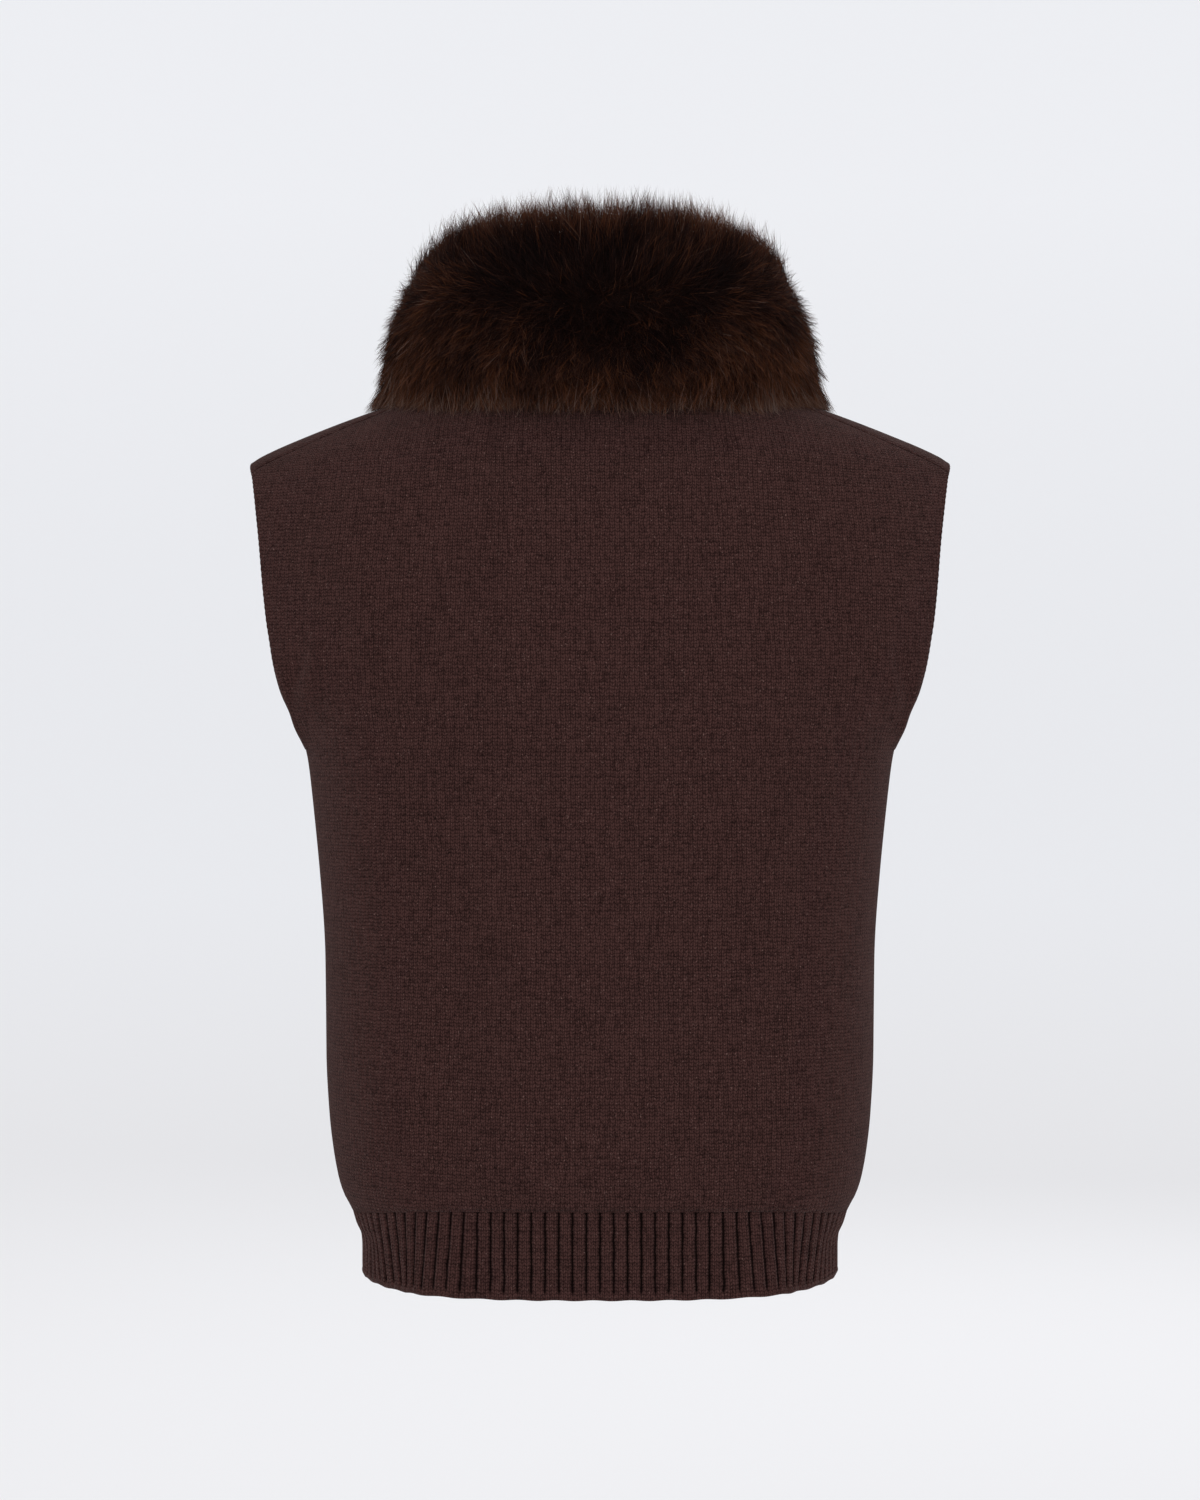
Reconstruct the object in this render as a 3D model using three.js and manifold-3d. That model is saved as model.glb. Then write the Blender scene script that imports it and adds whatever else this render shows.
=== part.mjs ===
// A sleeveless knit jacket with a ribbed hem band, a zip front and a fur collar, worn open and hollow
// on a general figure. Millimetres, +Z up. The wearer's back faces +Y and the wearer's left is +X.
// The origin lies midway between the two points where the shoulders carry it.
import * as THREE from 'three';
import { mergeVertices } from 'three/addons/utils/BufferGeometryUtils.js';
import Module from 'manifold-3d';

const wasm = await Module();
wasm.setup();

// Driving sizes of the knit.
const KNIT = 3.0; // wall of the body panels
const BAND_WALL = 2.2; // wall of the hem band between two ribs
const RIB_RISE = 1.6; // how far a rib stands up from the groove beside it
const BACK_RIBS = 56;
const FRONT_RIBS = 27; // on each front
const SEAM_GAP = 0.4;
const UNDERARM_Z = -214;
const SHAPED_Z = -130; // above this the side has its full shoulder wing
const ARCH_Z = -120; // above this the cloth bends over to the shoulder
const TIP_X = 232.8; // half the width from shoulder tip to shoulder tip
const BACK_SEAM_Z = -509; // top of the hem band at the middle
const SIDE_SEAM_Z = -518.5;
const BACK_HEM_Z = -566;
const SIDE_HEM_Z = -561;
const ARMHOLE_REACH = 52; // half the depth of the armhole
const ARCH_POWER = 2.2;
const WING_POWER = 3;
const NECK_X = 72; // half the width of the neck opening
const NECK_BACK_Y = 58;
const NECK_FRONT_Y = -90;
const ZIP_HALF_GAP = 6; // from the middle of the zip to the edge of each front

// Outline of the cloth from the front: half its width at each height.
const OUTLINE = [
  { z: -570, half: 158.5 }, { z: -543, half: 158.5 }, { z: -535, half: 159.1 },
  { z: -527, half: 162.5 }, { z: -518.5, half: 165.2 }, { z: -507, half: 171.2 },
  { z: -496, half: 174.5 }, { z: -476, half: 177.9 }, { z: -455, half: 180.2 },
  { z: -415, half: 182.6 }, { z: -355, half: 183.2 }, { z: -295, half: 187.3 },
  { z: -235, half: 193.3 }, { z: -214, half: 196.6 }, { z: -194, half: 203.9 },
  { z: -174, half: 210.9 }, { z: -154, half: 215.4 }, { z: -114, half: 220.4 },
  { z: -74, half: 224.1 }, { z: -34, half: 229.8 }, { z: -22, half: TIP_X }, { z: 60, half: TIP_X },
];

// Depth from the side: how far the back and the front reach from the plane of the side seams.
const DEPTHS = [
  { z: -570, back: 117, front: 118 }, { z: -527, back: 117.5, front: 118.5 },
  { z: -509, back: 119, front: 120 }, { z: -496, back: 122, front: 123 },
  { z: -470, back: 123, front: 125 }, { z: -380, back: 119, front: 125 },
  { z: -280, back: 116, front: 123 }, { z: -200, back: 114, front: 117 },
  { z: -120, back: 110, front: 108 }, { z: 60, back: 110, front: 108 },
];

// Height of the shoulder's crest at each distance from the middle.
const CREST = [
  { x: 0, z: 41.5 }, { x: 72, z: 40 }, { x: 110, z: 28 }, { x: 150, z: 13 },
  { x: 190, z: -2 }, { x: 226, z: -17.4 }, { x: 234, z: -22.6 },
];

// Soft ridges and troughs of the back: centre, half length and half width, height, and lean from upright.
const BACK_FOLDS = [
  { x: 60, z: -375, long: 140, wide: 17, rise: 2.6, lean: 2 },
  { x: 95, z: -372, long: 118, wide: 12, rise: -2.0, lean: -2 },
  { x: -37, z: -340, long: 165, wide: 22, rise: -2.8, lean: 3 },
  { x: -107, z: -244, long: 78, wide: 24, rise: 2.3, lean: -4 },
  { x: 118, z: -228, long: 104, wide: 25, rise: -1.9, lean: 5 },
  { x: -151, z: -152, long: 52, wide: 20, rise: -1.6, lean: -10 },
  { x: 158, z: -108, long: 48, wide: 13, rise: 1.8, lean: 24 },
  { x: 128, z: -448, long: 34, wide: 26, rise: 2.2, lean: 0 },
  { x: -124, z: -446, long: 38, wide: 24, rise: 2.0, lean: 0 },
];

// The same for the two fronts, which hang from the same shoulders.
const FRONT_FOLDS = [
  { x: 88, z: -330, long: 130, wide: 20, rise: 2.4, lean: 4 },
  { x: 124, z: -390, long: 90, wide: 15, rise: -2.0, lean: 6 },
  { x: -80, z: -300, long: 110, wide: 22, rise: -2.2, lean: -3 },
  { x: -112, z: -400, long: 96, wide: 19, rise: 2.3, lean: -2 },
  { x: 150, z: -160, long: 60, wide: 18, rise: -1.8, lean: 16 },
  { x: -148, z: -140, long: 54, wide: 20, rise: 1.7, lean: -20 },
];

// The fur collar at angles round the neck, from the middle of the back (0) to the zip (178).
// Reaches are measured in plan from the neck's axis; foot is where it leaves the cloth outside.
const COLLAR = [
  { turn: 0, neck: 59, foot: 74, belly: 112, bellyZ: 48, brow: 102, browZ: 116, top: 80, topZ: 149, lip: 54, lipZ: 136 },
  { turn: 30, neck: 60, foot: 84.5, belly: 122, bellyZ: 46, brow: 114, browZ: 113, top: 90, topZ: 147.5, lip: 57, lipZ: 134 },
  { turn: 60, neck: 66, foot: 121, belly: 140, bellyZ: 42, brow: 131, browZ: 105, top: 106, topZ: 139, lip: 63, lipZ: 127 },
  { turn: 90, neck: 72, foot: 150, belly: 149, bellyZ: 34, brow: 132, browZ: 90, top: 104, topZ: 125, lip: 67, lipZ: 115 },
  { turn: 120, neck: 79, foot: 128, belly: 144, bellyZ: 24, brow: 132, browZ: 76, top: 104, topZ: 112, lip: 71, lipZ: 102 },
  { turn: 150, neck: 89, foot: 104, belly: 129, bellyZ: 12, brow: 122, browZ: 60, top: 101, topZ: 97, lip: 74, lipZ: 87 },
  { turn: 177.4, neck: 91.5, foot: 94, belly: 119, bellyZ: 8, brow: 115, browZ: 52, top: 98, topZ: 87, lip: 75, lipZ: 77 },
];

// Zip sizes: how far each layer lies inside the outer face of the cloth.
const ZIP = {
  chainHalf: 3, chainOuter: 0.8, chainInner: 3.6, chainTop: -44, chainFoot: -563,
  tapeInnerX: 3.4, tapeOuterX: 20, tapeOuter: 4.4, tapeInner: 5.4, tapeTop: -27.5, tapeFoot: -560,
  sliderZ: -47, sliderHalf: 4.6, tabLong: 27,
};

const lerp = (a, b, t) => a + (b - a) * t;

function smooth(from, to, value) {
  const t = THREE.MathUtils.clamp((value - from) / (to - from), 0, 1);
  return t * t * (3 - 2 * t);
}

// Value of one column of a table at a place along another, level at the first row and without overshoot
// between the rows.
function readTable(rows, along, column, place) {
  const last = rows.length - 1;
  let i = 0;
  while (i < last - 1 && place > rows[i + 1][along]) i += 1;
  const slope = (k) => (rows[k + 1][column] - rows[k][column]) / (rows[k + 1][along] - rows[k][along]);
  const tangent = (k) => {
    if (k === 0) return 0;
    if (k === last) return slope(last - 1);
    const [before, after] = [slope(k - 1), slope(k)];
    return before * after > 0 ? (2 * before * after) / (before + after) : 0;
  };
  const width = rows[i + 1][along] - rows[i][along];
  const t = THREE.MathUtils.clamp((place - rows[i][along]) / width, 0, 1);
  const [a, b] = [rows[i][column], rows[i + 1][column]];
  const [ta, tb] = [tangent(i) * width, tangent(i + 1) * width];
  return (2 * t ** 3 - 3 * t ** 2 + 1) * a + (t ** 3 - 2 * t ** 2 + t) * ta
    + (3 * t ** 2 - 2 * t ** 3) * b + (t ** 3 - t ** 2) * tb;
}

const halfWidth = (z) => readTable(OUTLINE, 'z', 'half', z);
const crestZ = (x) => readTable(CREST, 'x', 'z', Math.abs(x));
const seamZ = (f) => lerp(BACK_SEAM_Z, SIDE_SEAM_Z, Math.abs(f) ** 4);
const hemZ = (f) => lerp(BACK_HEM_Z, SIDE_HEM_Z, Math.abs(f) ** 5);

// Reach of the cloth from the plane of the side seams, below the shoulder's bend. f runs from -1 to 1
// across the width; side is 'back' or 'front'. The round torso turns into a flatter shoulder wing
// above the underarm, and the armhole edge is lifted clear on a rounded line.
function reach(f, z, side) {
  const across = Math.min(1, Math.abs(f));
  const depth = readTable(DEPTHS, 'z', side, z);
  const power = lerp(2.4, 2.7, smooth(-300, -540, z));
  const round = depth * (1 - across ** power) ** (1 / power);
  const wing = ARMHOLE_REACH + (depth - ARMHOLE_REACH) * (1 - across ** WING_POWER);
  const t = smooth(UNDERARM_Z, SHAPED_Z, z);
  const u = THREE.MathUtils.clamp((z - UNDERARM_Z) / (ARCH_Z - UNDERARM_Z), 0, 1);
  const edge = ARMHOLE_REACH * (1 - (1 - u) ** 2.2) ** (1 / 2.2);
  return lerp(round, wing, t) + (edge - t * ARMHOLE_REACH) * across ** 18;
}

// Point of the outer face below the shoulder's bend.
function wallPoint(f, z, side) {
  const y = reach(f, z, side);
  return new THREE.Vector3(f * halfWidth(z), side === 'back' ? y : -y, z);
}

// Point of the outer face in the shoulder's bend: turn runs from 0 (front) over the crest at PI/2
// to PI (back).
function archPoint(f, turn) {
  const rise = Math.max(0, Math.sin(turn)) ** (2 / ARCH_POWER);
  const away = Math.abs(Math.cos(turn)) ** (2 / ARCH_POWER);
  const side = turn > Math.PI / 2 ? 'back' : 'front';
  let z = 0;
  for (let pass = 0; pass < 4; pass += 1) z = lerp(ARCH_Z, crestZ(f * halfWidth(z)), rise);
  const y = reach(f, ARCH_Z, side) * away;
  return new THREE.Vector3(f * halfWidth(z), side === 'back' ? y : -y, z);
}

// Turn in the bend at which the shoulder seam crosses column f, just behind the crest.
function seamTurn(f) {
  const x = Math.abs(f) * TIP_X;
  const drop = lerp(3, 9, smooth(NECK_X, TIP_X, x));
  const height = crestZ(x) - ARCH_Z;
  return Math.PI - Math.asin(((height - drop) / height) ** (ARCH_POWER / 2));
}

const NECK_F = NECK_X / TIP_X;
const NECK_CORNER_Y = archPoint(NECK_F, seamTurn(NECK_F)).y;

// Turn at which column f meets the neck opening, which is half an ellipse on each side of the seam.
function neckTurn(f, side) {
  const round = Math.sqrt(Math.max(0, 1 - (f / NECK_F) ** 2));
  const y = lerp(NECK_CORNER_Y, side === 'back' ? NECK_BACK_Y : NECK_FRONT_Y, round);
  const share = Math.min(1, Math.abs(y) / reach(f, ARCH_Z, y > 0 ? 'back' : 'front'));
  const turn = Math.acos(share ** (ARCH_POWER / 2));
  return y > 0 ? Math.PI - turn : turn;
}

const topTurn = (f, side) => (Math.abs(f) < NECK_F - 1e-6 ? neckTurn(f, side) : seamTurn(f));

// Soft height of the folds at a point of the cloth, fading towards its seams.
function foldHeight(folds, x, z, f) {
  let height = 0;
  for (const fold of folds) {
    const lean = THREE.MathUtils.degToRad(fold.lean);
    const [dx, dz] = [x - fold.x, z - fold.z];
    const across = (dx * Math.cos(lean) - dz * Math.sin(lean)) / fold.wide;
    const along = Math.abs(dx * Math.sin(lean) + dz * Math.cos(lean)) / fold.long;
    height += fold.rise * Math.exp(-across * across) * (1 - smooth(0.55, 1.15, along));
  }
  return height * smooth(seamZ(f), seamZ(f) + 26, z) * (1 - smooth(0.86, 0.97, Math.abs(f)));
}

// Unit normal of the outer face, pointing out: below the bend where z is given, else in the bend.
function outerNormal(f, z, turn, side) {
  const step = 1e-3;
  const at = (df, up) => {
    const across = THREE.MathUtils.clamp(f + df, -1, 1);
    return z === null ? archPoint(across, turn + up) : wallPoint(across, z + 40 * up, side);
  };
  const normal = at(step, 0).sub(at(-step, 0)).cross(at(0, step).sub(at(0, -step))).normalize();
  const here = at(0, 0);
  return normal.dot(new THREE.Vector3(here.x, here.y, 60)) < 0 ? normal.negate() : normal;
}

const moved = (grid, normals, distance) => grid.map((row, r) => row.map((point, c) => (
  point.clone().addScaledVector(normals[r][c], distance))));

// Closed body from a list of points and faces, turned so that its faces point out.
function bodyFrom(points, faces) {
  let volume = 0;
  for (let i = 0; i < faces.length; i += 3) {
    const [a, b, c] = [points[faces[i]], points[faces[i + 1]], points[faces[i + 2]]];
    volume += a.dot(b.clone().cross(c));
  }
  const turned = volume > 0 ? faces : [...faces].reverse();
  const geometry = new THREE.BufferGeometry();
  geometry.setAttribute('position', new THREE.Float32BufferAttribute(points.flatMap((p) => p.toArray()), 3));
  geometry.setIndex(turned);
  geometry.computeVertexNormals();
  return geometry;
}

// Wall between two grids of the same size, closed round its rim.
function sheetBetween(outer, inner) {
  const [rows, columns] = [outer.length, outer[0].length];
  const at = (layer, r, c) => (layer * rows + r) * columns + c;
  const faces = [];
  const quad = (a, b, c, d) => faces.push(a, b, c, a, c, d);
  for (let r = 0; r < rows - 1; r += 1) {
    for (let c = 0; c < columns - 1; c += 1) {
      quad(at(0, r, c), at(0, r, c + 1), at(0, r + 1, c + 1), at(0, r + 1, c));
      quad(at(1, r, c), at(1, r + 1, c), at(1, r + 1, c + 1), at(1, r, c + 1));
    }
    quad(at(0, r, 0), at(0, r + 1, 0), at(1, r + 1, 0), at(1, r, 0));
    quad(at(0, r + 1, columns - 1), at(0, r, columns - 1), at(1, r, columns - 1), at(1, r + 1, columns - 1));
  }
  for (let c = 0; c < columns - 1; c += 1) {
    quad(at(0, 0, c + 1), at(0, 0, c), at(1, 0, c), at(1, 0, c + 1));
    quad(at(0, rows - 1, c), at(0, rows - 1, c + 1), at(1, rows - 1, c + 1), at(1, rows - 1, c));
  }
  return bodyFrom([...outer.flat(), ...inner.flat()], faces);
}

// Columns across half the width: close together round the neck, then on to the shoulder tip.
function halfColumns() {
  const columns = [];
  for (let k = 0; k < 5; k += 1) columns.push(NECK_F * Math.sin((Math.PI / 2) * (k / 5)));
  const start = Math.asin(NECK_F);
  for (let k = 0; k <= 10; k += 1) columns.push(Math.sin(lerp(start, Math.PI / 2, k / 10)));
  return columns;
}

// Heights of the rows below the bend for a column, close together beside the armhole.
function wallHeights(f) {
  const start = seamZ(f) + SEAM_GAP / 2;
  const heights = [start, start + 7, start + 16];
  const foot = SIDE_SEAM_Z + 36;
  for (let k = 0; k <= 9; k += 1) heights.push(lerp(foot, -235, k / 9));
  for (const z of [-224, UNDERARM_Z, -206, -198, -186, -172, -156, -138]) heights.push(z);
  return heights;
}

// Wall of one panel. Its rows follow heights below the shoulder's bend and turns within it.
function panelBody(columns, side, place, folds, bendRows) {
  const gapTurn = (f) => SEAM_GAP / 2 / (0.6 * reach(f, ARCH_Z, 'back') + 20);
  const start = side === 'back' ? Math.PI : 0;
  const heights = columns.map(wallHeights);
  const rows = heights[0].map((unused, r) => columns.map((f, c) => [f, heights[c][r], 0]));
  for (let k = 0; k <= bendRows; k += 1) {
    rows.push(columns.map((f) => {
      const end = topTurn(f, side) + (side === 'back' ? gapTurn(f) : -gapTurn(f));
      return [f, null, lerp(start, end, (k / bendRows) ** 0.9)];
    }));
  }
  const normals = rows.map((row) => row.map(([f, z, turn]) => {
    const atSeam = Math.abs(f) > 0.999 && z !== null && z <= UNDERARM_Z;
    return atSeam ? new THREE.Vector3(Math.sign(f), 0, 0) : outerNormal(f, z, turn, side);
  }));
  const outer = rows.map((row, r) => row.map(([f, z, turn], c) => {
    const point = place(f, z, turn);
    return point.addScaledVector(normals[r][c], foldHeight(folds, point.x, point.z, f));
  }));
  return sheetBetween(outer, moved(outer, normals, -KNIT));
}

// Column f of a panel at height z, or at a turn of the shoulder's bend where z is null. Below the
// armhole the two panels stand half a seam gap either side of the side seam.
function panelPoint(f, z, turn, side) {
  if (z === null) return archPoint(f, turn);
  const point = wallPoint(f, z, side);
  if (z <= UNDERARM_Z) point.y += (side === 'back' ? SEAM_GAP : -SEAM_GAP) / 2;
  return point;
}

function backPanel() {
  const half = halfColumns();
  const columns = [...half.slice(1).reverse(), ...half.map((f) => -f)];
  return panelBody(columns, 'back', (f, z, turn) => panelPoint(f, z, turn, 'back'), BACK_FOLDS, 9);
}

// One front, from the zip to the side; hand is 1 for the wearer's left and -1 for the right.
function frontPanel(hand) {
  const zipEdge = ZIP_HALF_GAP / TIP_X;
  const columns = halfColumns().map((f) => hand * Math.max(f, zipEdge));
  if (hand < 0) columns.reverse();
  const place = (f, z, turn) => {
    const beside = z !== null && Math.abs(f) <= zipEdge;
    return panelPoint(beside ? (hand * ZIP_HALF_GAP) / halfWidth(z) : f, z, turn, 'front');
  };
  return panelBody(columns, 'front', place, FRONT_FOLDS, 13);
}

// Places across one side of the hem band from the left side seam to the right: for each rib of an equal
// walk round the wearer, its groove and the two shoulders of its top.
function bandColumns(ribs, side) {
  const steps = 900;
  const walk = [0];
  const across = [1];
  let last = wallPoint(1, SIDE_HEM_Z, side);
  for (let k = 1; k <= steps; k += 1) {
    across.push(Math.cos((Math.PI * k) / steps));
    const point = wallPoint(across[k], SIDE_HEM_Z, side);
    walk.push(walk[k - 1] + point.distanceTo(last));
    last = point;
  }
  const columns = [];
  for (let i = 0, k = 0; i <= 3 * ribs; i += 1) {
    const target = (walk[steps] * (Math.floor(i / 3) + [0, 0.24, 0.76][i % 3])) / ribs;
    while (k < steps - 1 && walk[k + 1] < target) k += 1;
    columns.push(lerp(across[k], across[k + 1], (target - walk[k]) / (walk[k + 1] - walk[k])));
  }
  return columns;
}

// Hem band: ribs raised on its outer face, plain inside. Each rib has three outer points to one inner.
function bandBody(places, side, ribAt) {
  const rows = [0, 0.14, 0.32, 0.94, 1];
  const risen = [0.55, 0.9, 1, 1, 0.35];
  const point = (f, r, inside) => {
    const z = lerp(seamZ(f) - SEAM_GAP / 2, hemZ(f), rows[r]);
    const base = wallPoint(f, z, side);
    if (Math.abs(f) > 0.9999) base.y = 0;
    base.y += (side === 'back' ? SEAM_GAP : -SEAM_GAP) / 2;
    const beside = [1e-4, -1e-4].map((d) => wallPoint(THREE.MathUtils.clamp(f + d, -1, 1), z, side));
    const normal = new THREE.Vector3(0, 0, 1).cross(beside[0].sub(beside[1])).normalize();
    if (normal.dot(base) < 0) normal.negate();
    if (Math.abs(f) > 0.9999) normal.set(Math.sign(f), 0, 0);
    return base.addScaledVector(normal, -inside).setZ(z);
  };
  const points = [];
  const faces = [];
  const outer = rows.map((unused, r) => places.map((f, c) => {
    points.push(point(f, r, RIB_RISE * (1 - risen[r] * ribAt(c))));
    return points.length - 1;
  }));
  const inner = rows.map((unused, r) => places.filter((f, c) => c % 3 === 0).map((f) => {
    points.push(point(f, r, RIB_RISE + BAND_WALL));
    return points.length - 1;
  }));
  const quad = (a, b, c, d) => faces.push(a, b, c, a, c, d);
  const [bottom, end, innerEnd] = [rows.length - 1, places.length - 1, (places.length - 1) / 3];
  for (let r = 0; r < bottom; r += 1) {
    for (let c = 0; c < end; c += 1) quad(outer[r][c], outer[r + 1][c], outer[r + 1][c + 1], outer[r][c + 1]);
    for (let c = 0; c < innerEnd; c += 1) quad(inner[r][c], inner[r][c + 1], inner[r + 1][c + 1], inner[r + 1][c]);
    quad(outer[r][0], inner[r][0], inner[r + 1][0], outer[r + 1][0]);
    quad(outer[r][end], outer[r + 1][end], inner[r + 1][innerEnd], inner[r][innerEnd]);
  }
  for (let c = 0; c < innerEnd; c += 1) {
    for (const [r, flip] of [[0, false], [bottom, true]]) {
      const rim = [outer[r][3 * c], outer[r][3 * c + 1], outer[r][3 * c + 2], outer[r][3 * c + 3]];
      const [a, b] = [inner[r][c], inner[r][c + 1]];
      for (const face of [[a, rim[0], rim[1]], [a, rim[1], rim[2]], [a, rim[2], b], [b, rim[2], rim[3]]]) {
        faces.push(...(flip ? face.reverse() : face));
      }
    }
  }
  return bodyFrom(points, faces);
}

// The height of a rib at each of its outer points: the groove, then its two shoulders.
const ribAt = (c) => (c % 3 === 0 ? 0 : 1);

const backBand = () => bandBody(bandColumns(BACK_RIBS, 'back'), 'back', ribAt);

function frontBand(hand) {
  const all = bandColumns(2 * FRONT_RIBS + 1, 'front');
  const own = all.slice(0, 3 * FRONT_RIBS + 1);
  own[own.length - 1] = ZIP_HALF_GAP / halfWidth(SIDE_HEM_Z);
  const columns = hand > 0 ? own : own.map((f) => -f).reverse();
  return bandBody(columns, 'front', ribAt);
}

// Height of the outer face of the cloth above a place in plan, near the neck and shoulders.
function clothZ(x, y) {
  let z = 0;
  for (let pass = 0; pass < 5; pass += 1) {
    const share = Math.min(1, Math.abs(y) / reach(Math.abs(x) / halfWidth(z), ARCH_Z, y > 0 ? 'back' : 'front'));
    z = lerp(ARCH_Z, crestZ(x), (1 - share ** ARCH_POWER) ** (1 / ARCH_POWER));
  }
  return z;
}

// Points round one section of the collar, in the upright plane at an angle from the middle of the back.
function collarSection(turn) {
  const size = (column) => readTable(COLLAR, 'turn', column, Math.abs(turn));
  const angle = THREE.MathUtils.degToRad(turn);
  const at = (out, z) => new THREE.Vector3(out * Math.sin(angle), out * Math.cos(angle), z);
  const onCloth = (share) => {
    const flat = at(lerp(size('neck'), size('foot'), share), 0);
    return flat.setZ(clothZ(flat.x, flat.y) + 1.6);
  };
  const foot = onCloth(1);
  const [footOut, neckZ] = [size('foot'), onCloth(0).z];
  const outer = [
    at(lerp(footOut, size('belly'), 0.62), lerp(foot.z, size('bellyZ'), 0.2) + 1.5),
    at(lerp(footOut, size('belly'), 0.92), lerp(foot.z, size('bellyZ'), 0.55)),
    at(size('belly'), size('bellyZ')),
    at(lerp(size('belly'), size('brow'), 0.42) + 1.5, lerp(size('bellyZ'), size('browZ'), 0.55)),
    at(size('brow'), size('browZ')),
    at(lerp(size('brow'), size('top'), 0.36), lerp(size('browZ'), size('topZ'), 0.72)),
    at(size('top'), size('topZ')),
  ];
  const inner = [
    at(lerp(size('top'), size('lip'), 0.6), size('topZ') - 2.5),
    at(size('lip'), size('lipZ')),
    at(lerp(size('lip'), size('neck'), 0.3) - 1.5, lerp(size('lipZ'), neckZ, 0.35)),
    at(lerp(size('lip'), size('neck'), 0.68) - 1.5, lerp(size('lipZ'), neckZ, 0.7)),
  ];
  return [onCloth(0), onCloth(0.33), onCloth(0.68), foot, ...outer, ...inner];
}

function furCollar() {
  const end = COLLAR[COLLAR.length - 1].turn;
  const count = 46;
  const sections = [];
  for (let k = 0; k <= count; k += 1) sections.push(collarSection(lerp(-end, end, k / count)));
  const round = sections[0].length;
  const points = sections.flat();
  const faces = [];
  for (let k = 0; k < count; k += 1) {
    for (let i = 0; i < round; i += 1) {
      const [a, b] = [k * round + i, k * round + ((i + 1) % round)];
      faces.push(a, a + round, b + round, a, b + round, b);
    }
  }
  for (const [k, flip] of [[0, false], [count, true]]) {
    const outline = sections[k].map((p) => new THREE.Vector2(Math.hypot(p.x, p.y), p.z));
    for (const face of THREE.ShapeUtils.triangulateShape(outline, [])) {
      const corners = face.map((i) => k * round + i);
      faces.push(...(flip ? corners.reverse() : corners));
    }
  }
  return bodyFrom(points, faces);
}

// A point behind the outer face at the front, by how far inside it lies.
function behindFront(x, z, inside) {
  const f = x / halfWidth(z);
  const at = (height) => {
    if (height <= ARCH_Z) return wallPoint(f, height, 'front');
    const rise = (height - ARCH_Z) / (crestZ(x) - ARCH_Z);
    return wallPoint(f, ARCH_Z, 'front').multiply(new THREE.Vector3(1, (1 - rise ** ARCH_POWER) ** (1 / ARCH_POWER), 1))
      .setX(x).setZ(height);
  };
  const [below, above] = [at(z - 2), at(z + 2)];
  const normal = new THREE.Vector3(1, 0, 0).cross(above.sub(below)).normalize();
  return at(z).addScaledVector(normal, -inside);
}

// Strip of the zip behind the cloth between two distances from its middle.
function zipStrip(xs, foot, top, outer, inner) {
  const rows = [];
  for (let z = foot; z < top - 6; z += z > -130 || z < -490 ? 9 : 20) rows.push(z);
  rows.push(top);
  const grid = (inside) => rows.map((z) => xs.map((x) => behindFront(x, z, inside)));
  return sheetBetween(grid(outer), grid(inner));
}

const zipTape = (hand) => zipStrip(
  [ZIP.tapeInnerX, ZIP.tapeOuterX].map((x) => x * hand).sort((a, b) => a - b),
  ZIP.tapeFoot, ZIP.tapeTop, ZIP.tapeOuter, ZIP.tapeInner);

const zipChain = () => zipStrip(
  [-ZIP.chainHalf, ZIP.chainHalf], ZIP.chainFoot, ZIP.chainTop, ZIP.chainOuter, ZIP.chainInner);

// Solid of a geometry, for joining and cutting.
function solidOf(geometry) {
  const plain = geometry.clone();
  plain.deleteAttribute('normal');
  plain.deleteAttribute('uv');
  const merged = mergeVertices(plain, 1e-4);
  return new wasm.Manifold(new wasm.Mesh({
    numProp: 3,
    vertProperties: new Float32Array(merged.attributes.position.array),
    triVerts: new Uint32Array(merged.index.array),
  }));
}

function geometryOf(solid) {
  const mesh = solid.getMesh();
  const geometry = new THREE.BufferGeometry();
  geometry.setAttribute('position', new THREE.Float32BufferAttribute(mesh.vertProperties, 3));
  geometry.setIndex(Array.from(mesh.triVerts));
  geometry.computeVertexNormals();
  return geometry;
}

const block = (x, y, z, sx, sy, sz) => solidOf(new THREE.BoxGeometry(sx, sy, sz).translate(x, y, z));
const barAlongX = (radius, long, y, z) => solidOf(
  new THREE.CylinderGeometry(radius, radius, long, 20).rotateZ(Math.PI / 2).translate(0, y, z));

// The slider in its own frame: -Y out from the chain's outer face, +Z up along the zip.
const PIN = { y: -5.6, z: 2.2, radius: 0.9, eye: 1.0, eyeOuter: 2.0, cheek: 3.1, cheekThick: 1.3 };

function zipSlider() {
  const { sliderHalf, chainOuter, tapeInner } = ZIP;
  const rearY = tapeInner - chainOuter + 0.9;
  let solid = block(0, -1.0, 0, 2 * sliderHalf, 1.4, 14);
  solid = solid.add(block(0, rearY + 0.7, 0, 2 * sliderHalf, 1.4, 14));
  solid = solid.add(block(0, rearY / 2, 5.5, 4.6, rearY + 1.2, 3));
  for (const hand of [1, -1]) {
    const x = hand * (PIN.cheek + PIN.cheekThick / 2);
    solid = solid.add(block(x, (PIN.y - 1.2) / 2 - 0.5, PIN.z, PIN.cheekThick, -PIN.y + 1.2, 3.4));
  }
  solid = solid.add(barAlongX(PIN.radius, 2 * PIN.cheek + 1, PIN.y, PIN.z));
  return geometryOf(solid);
}

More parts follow.
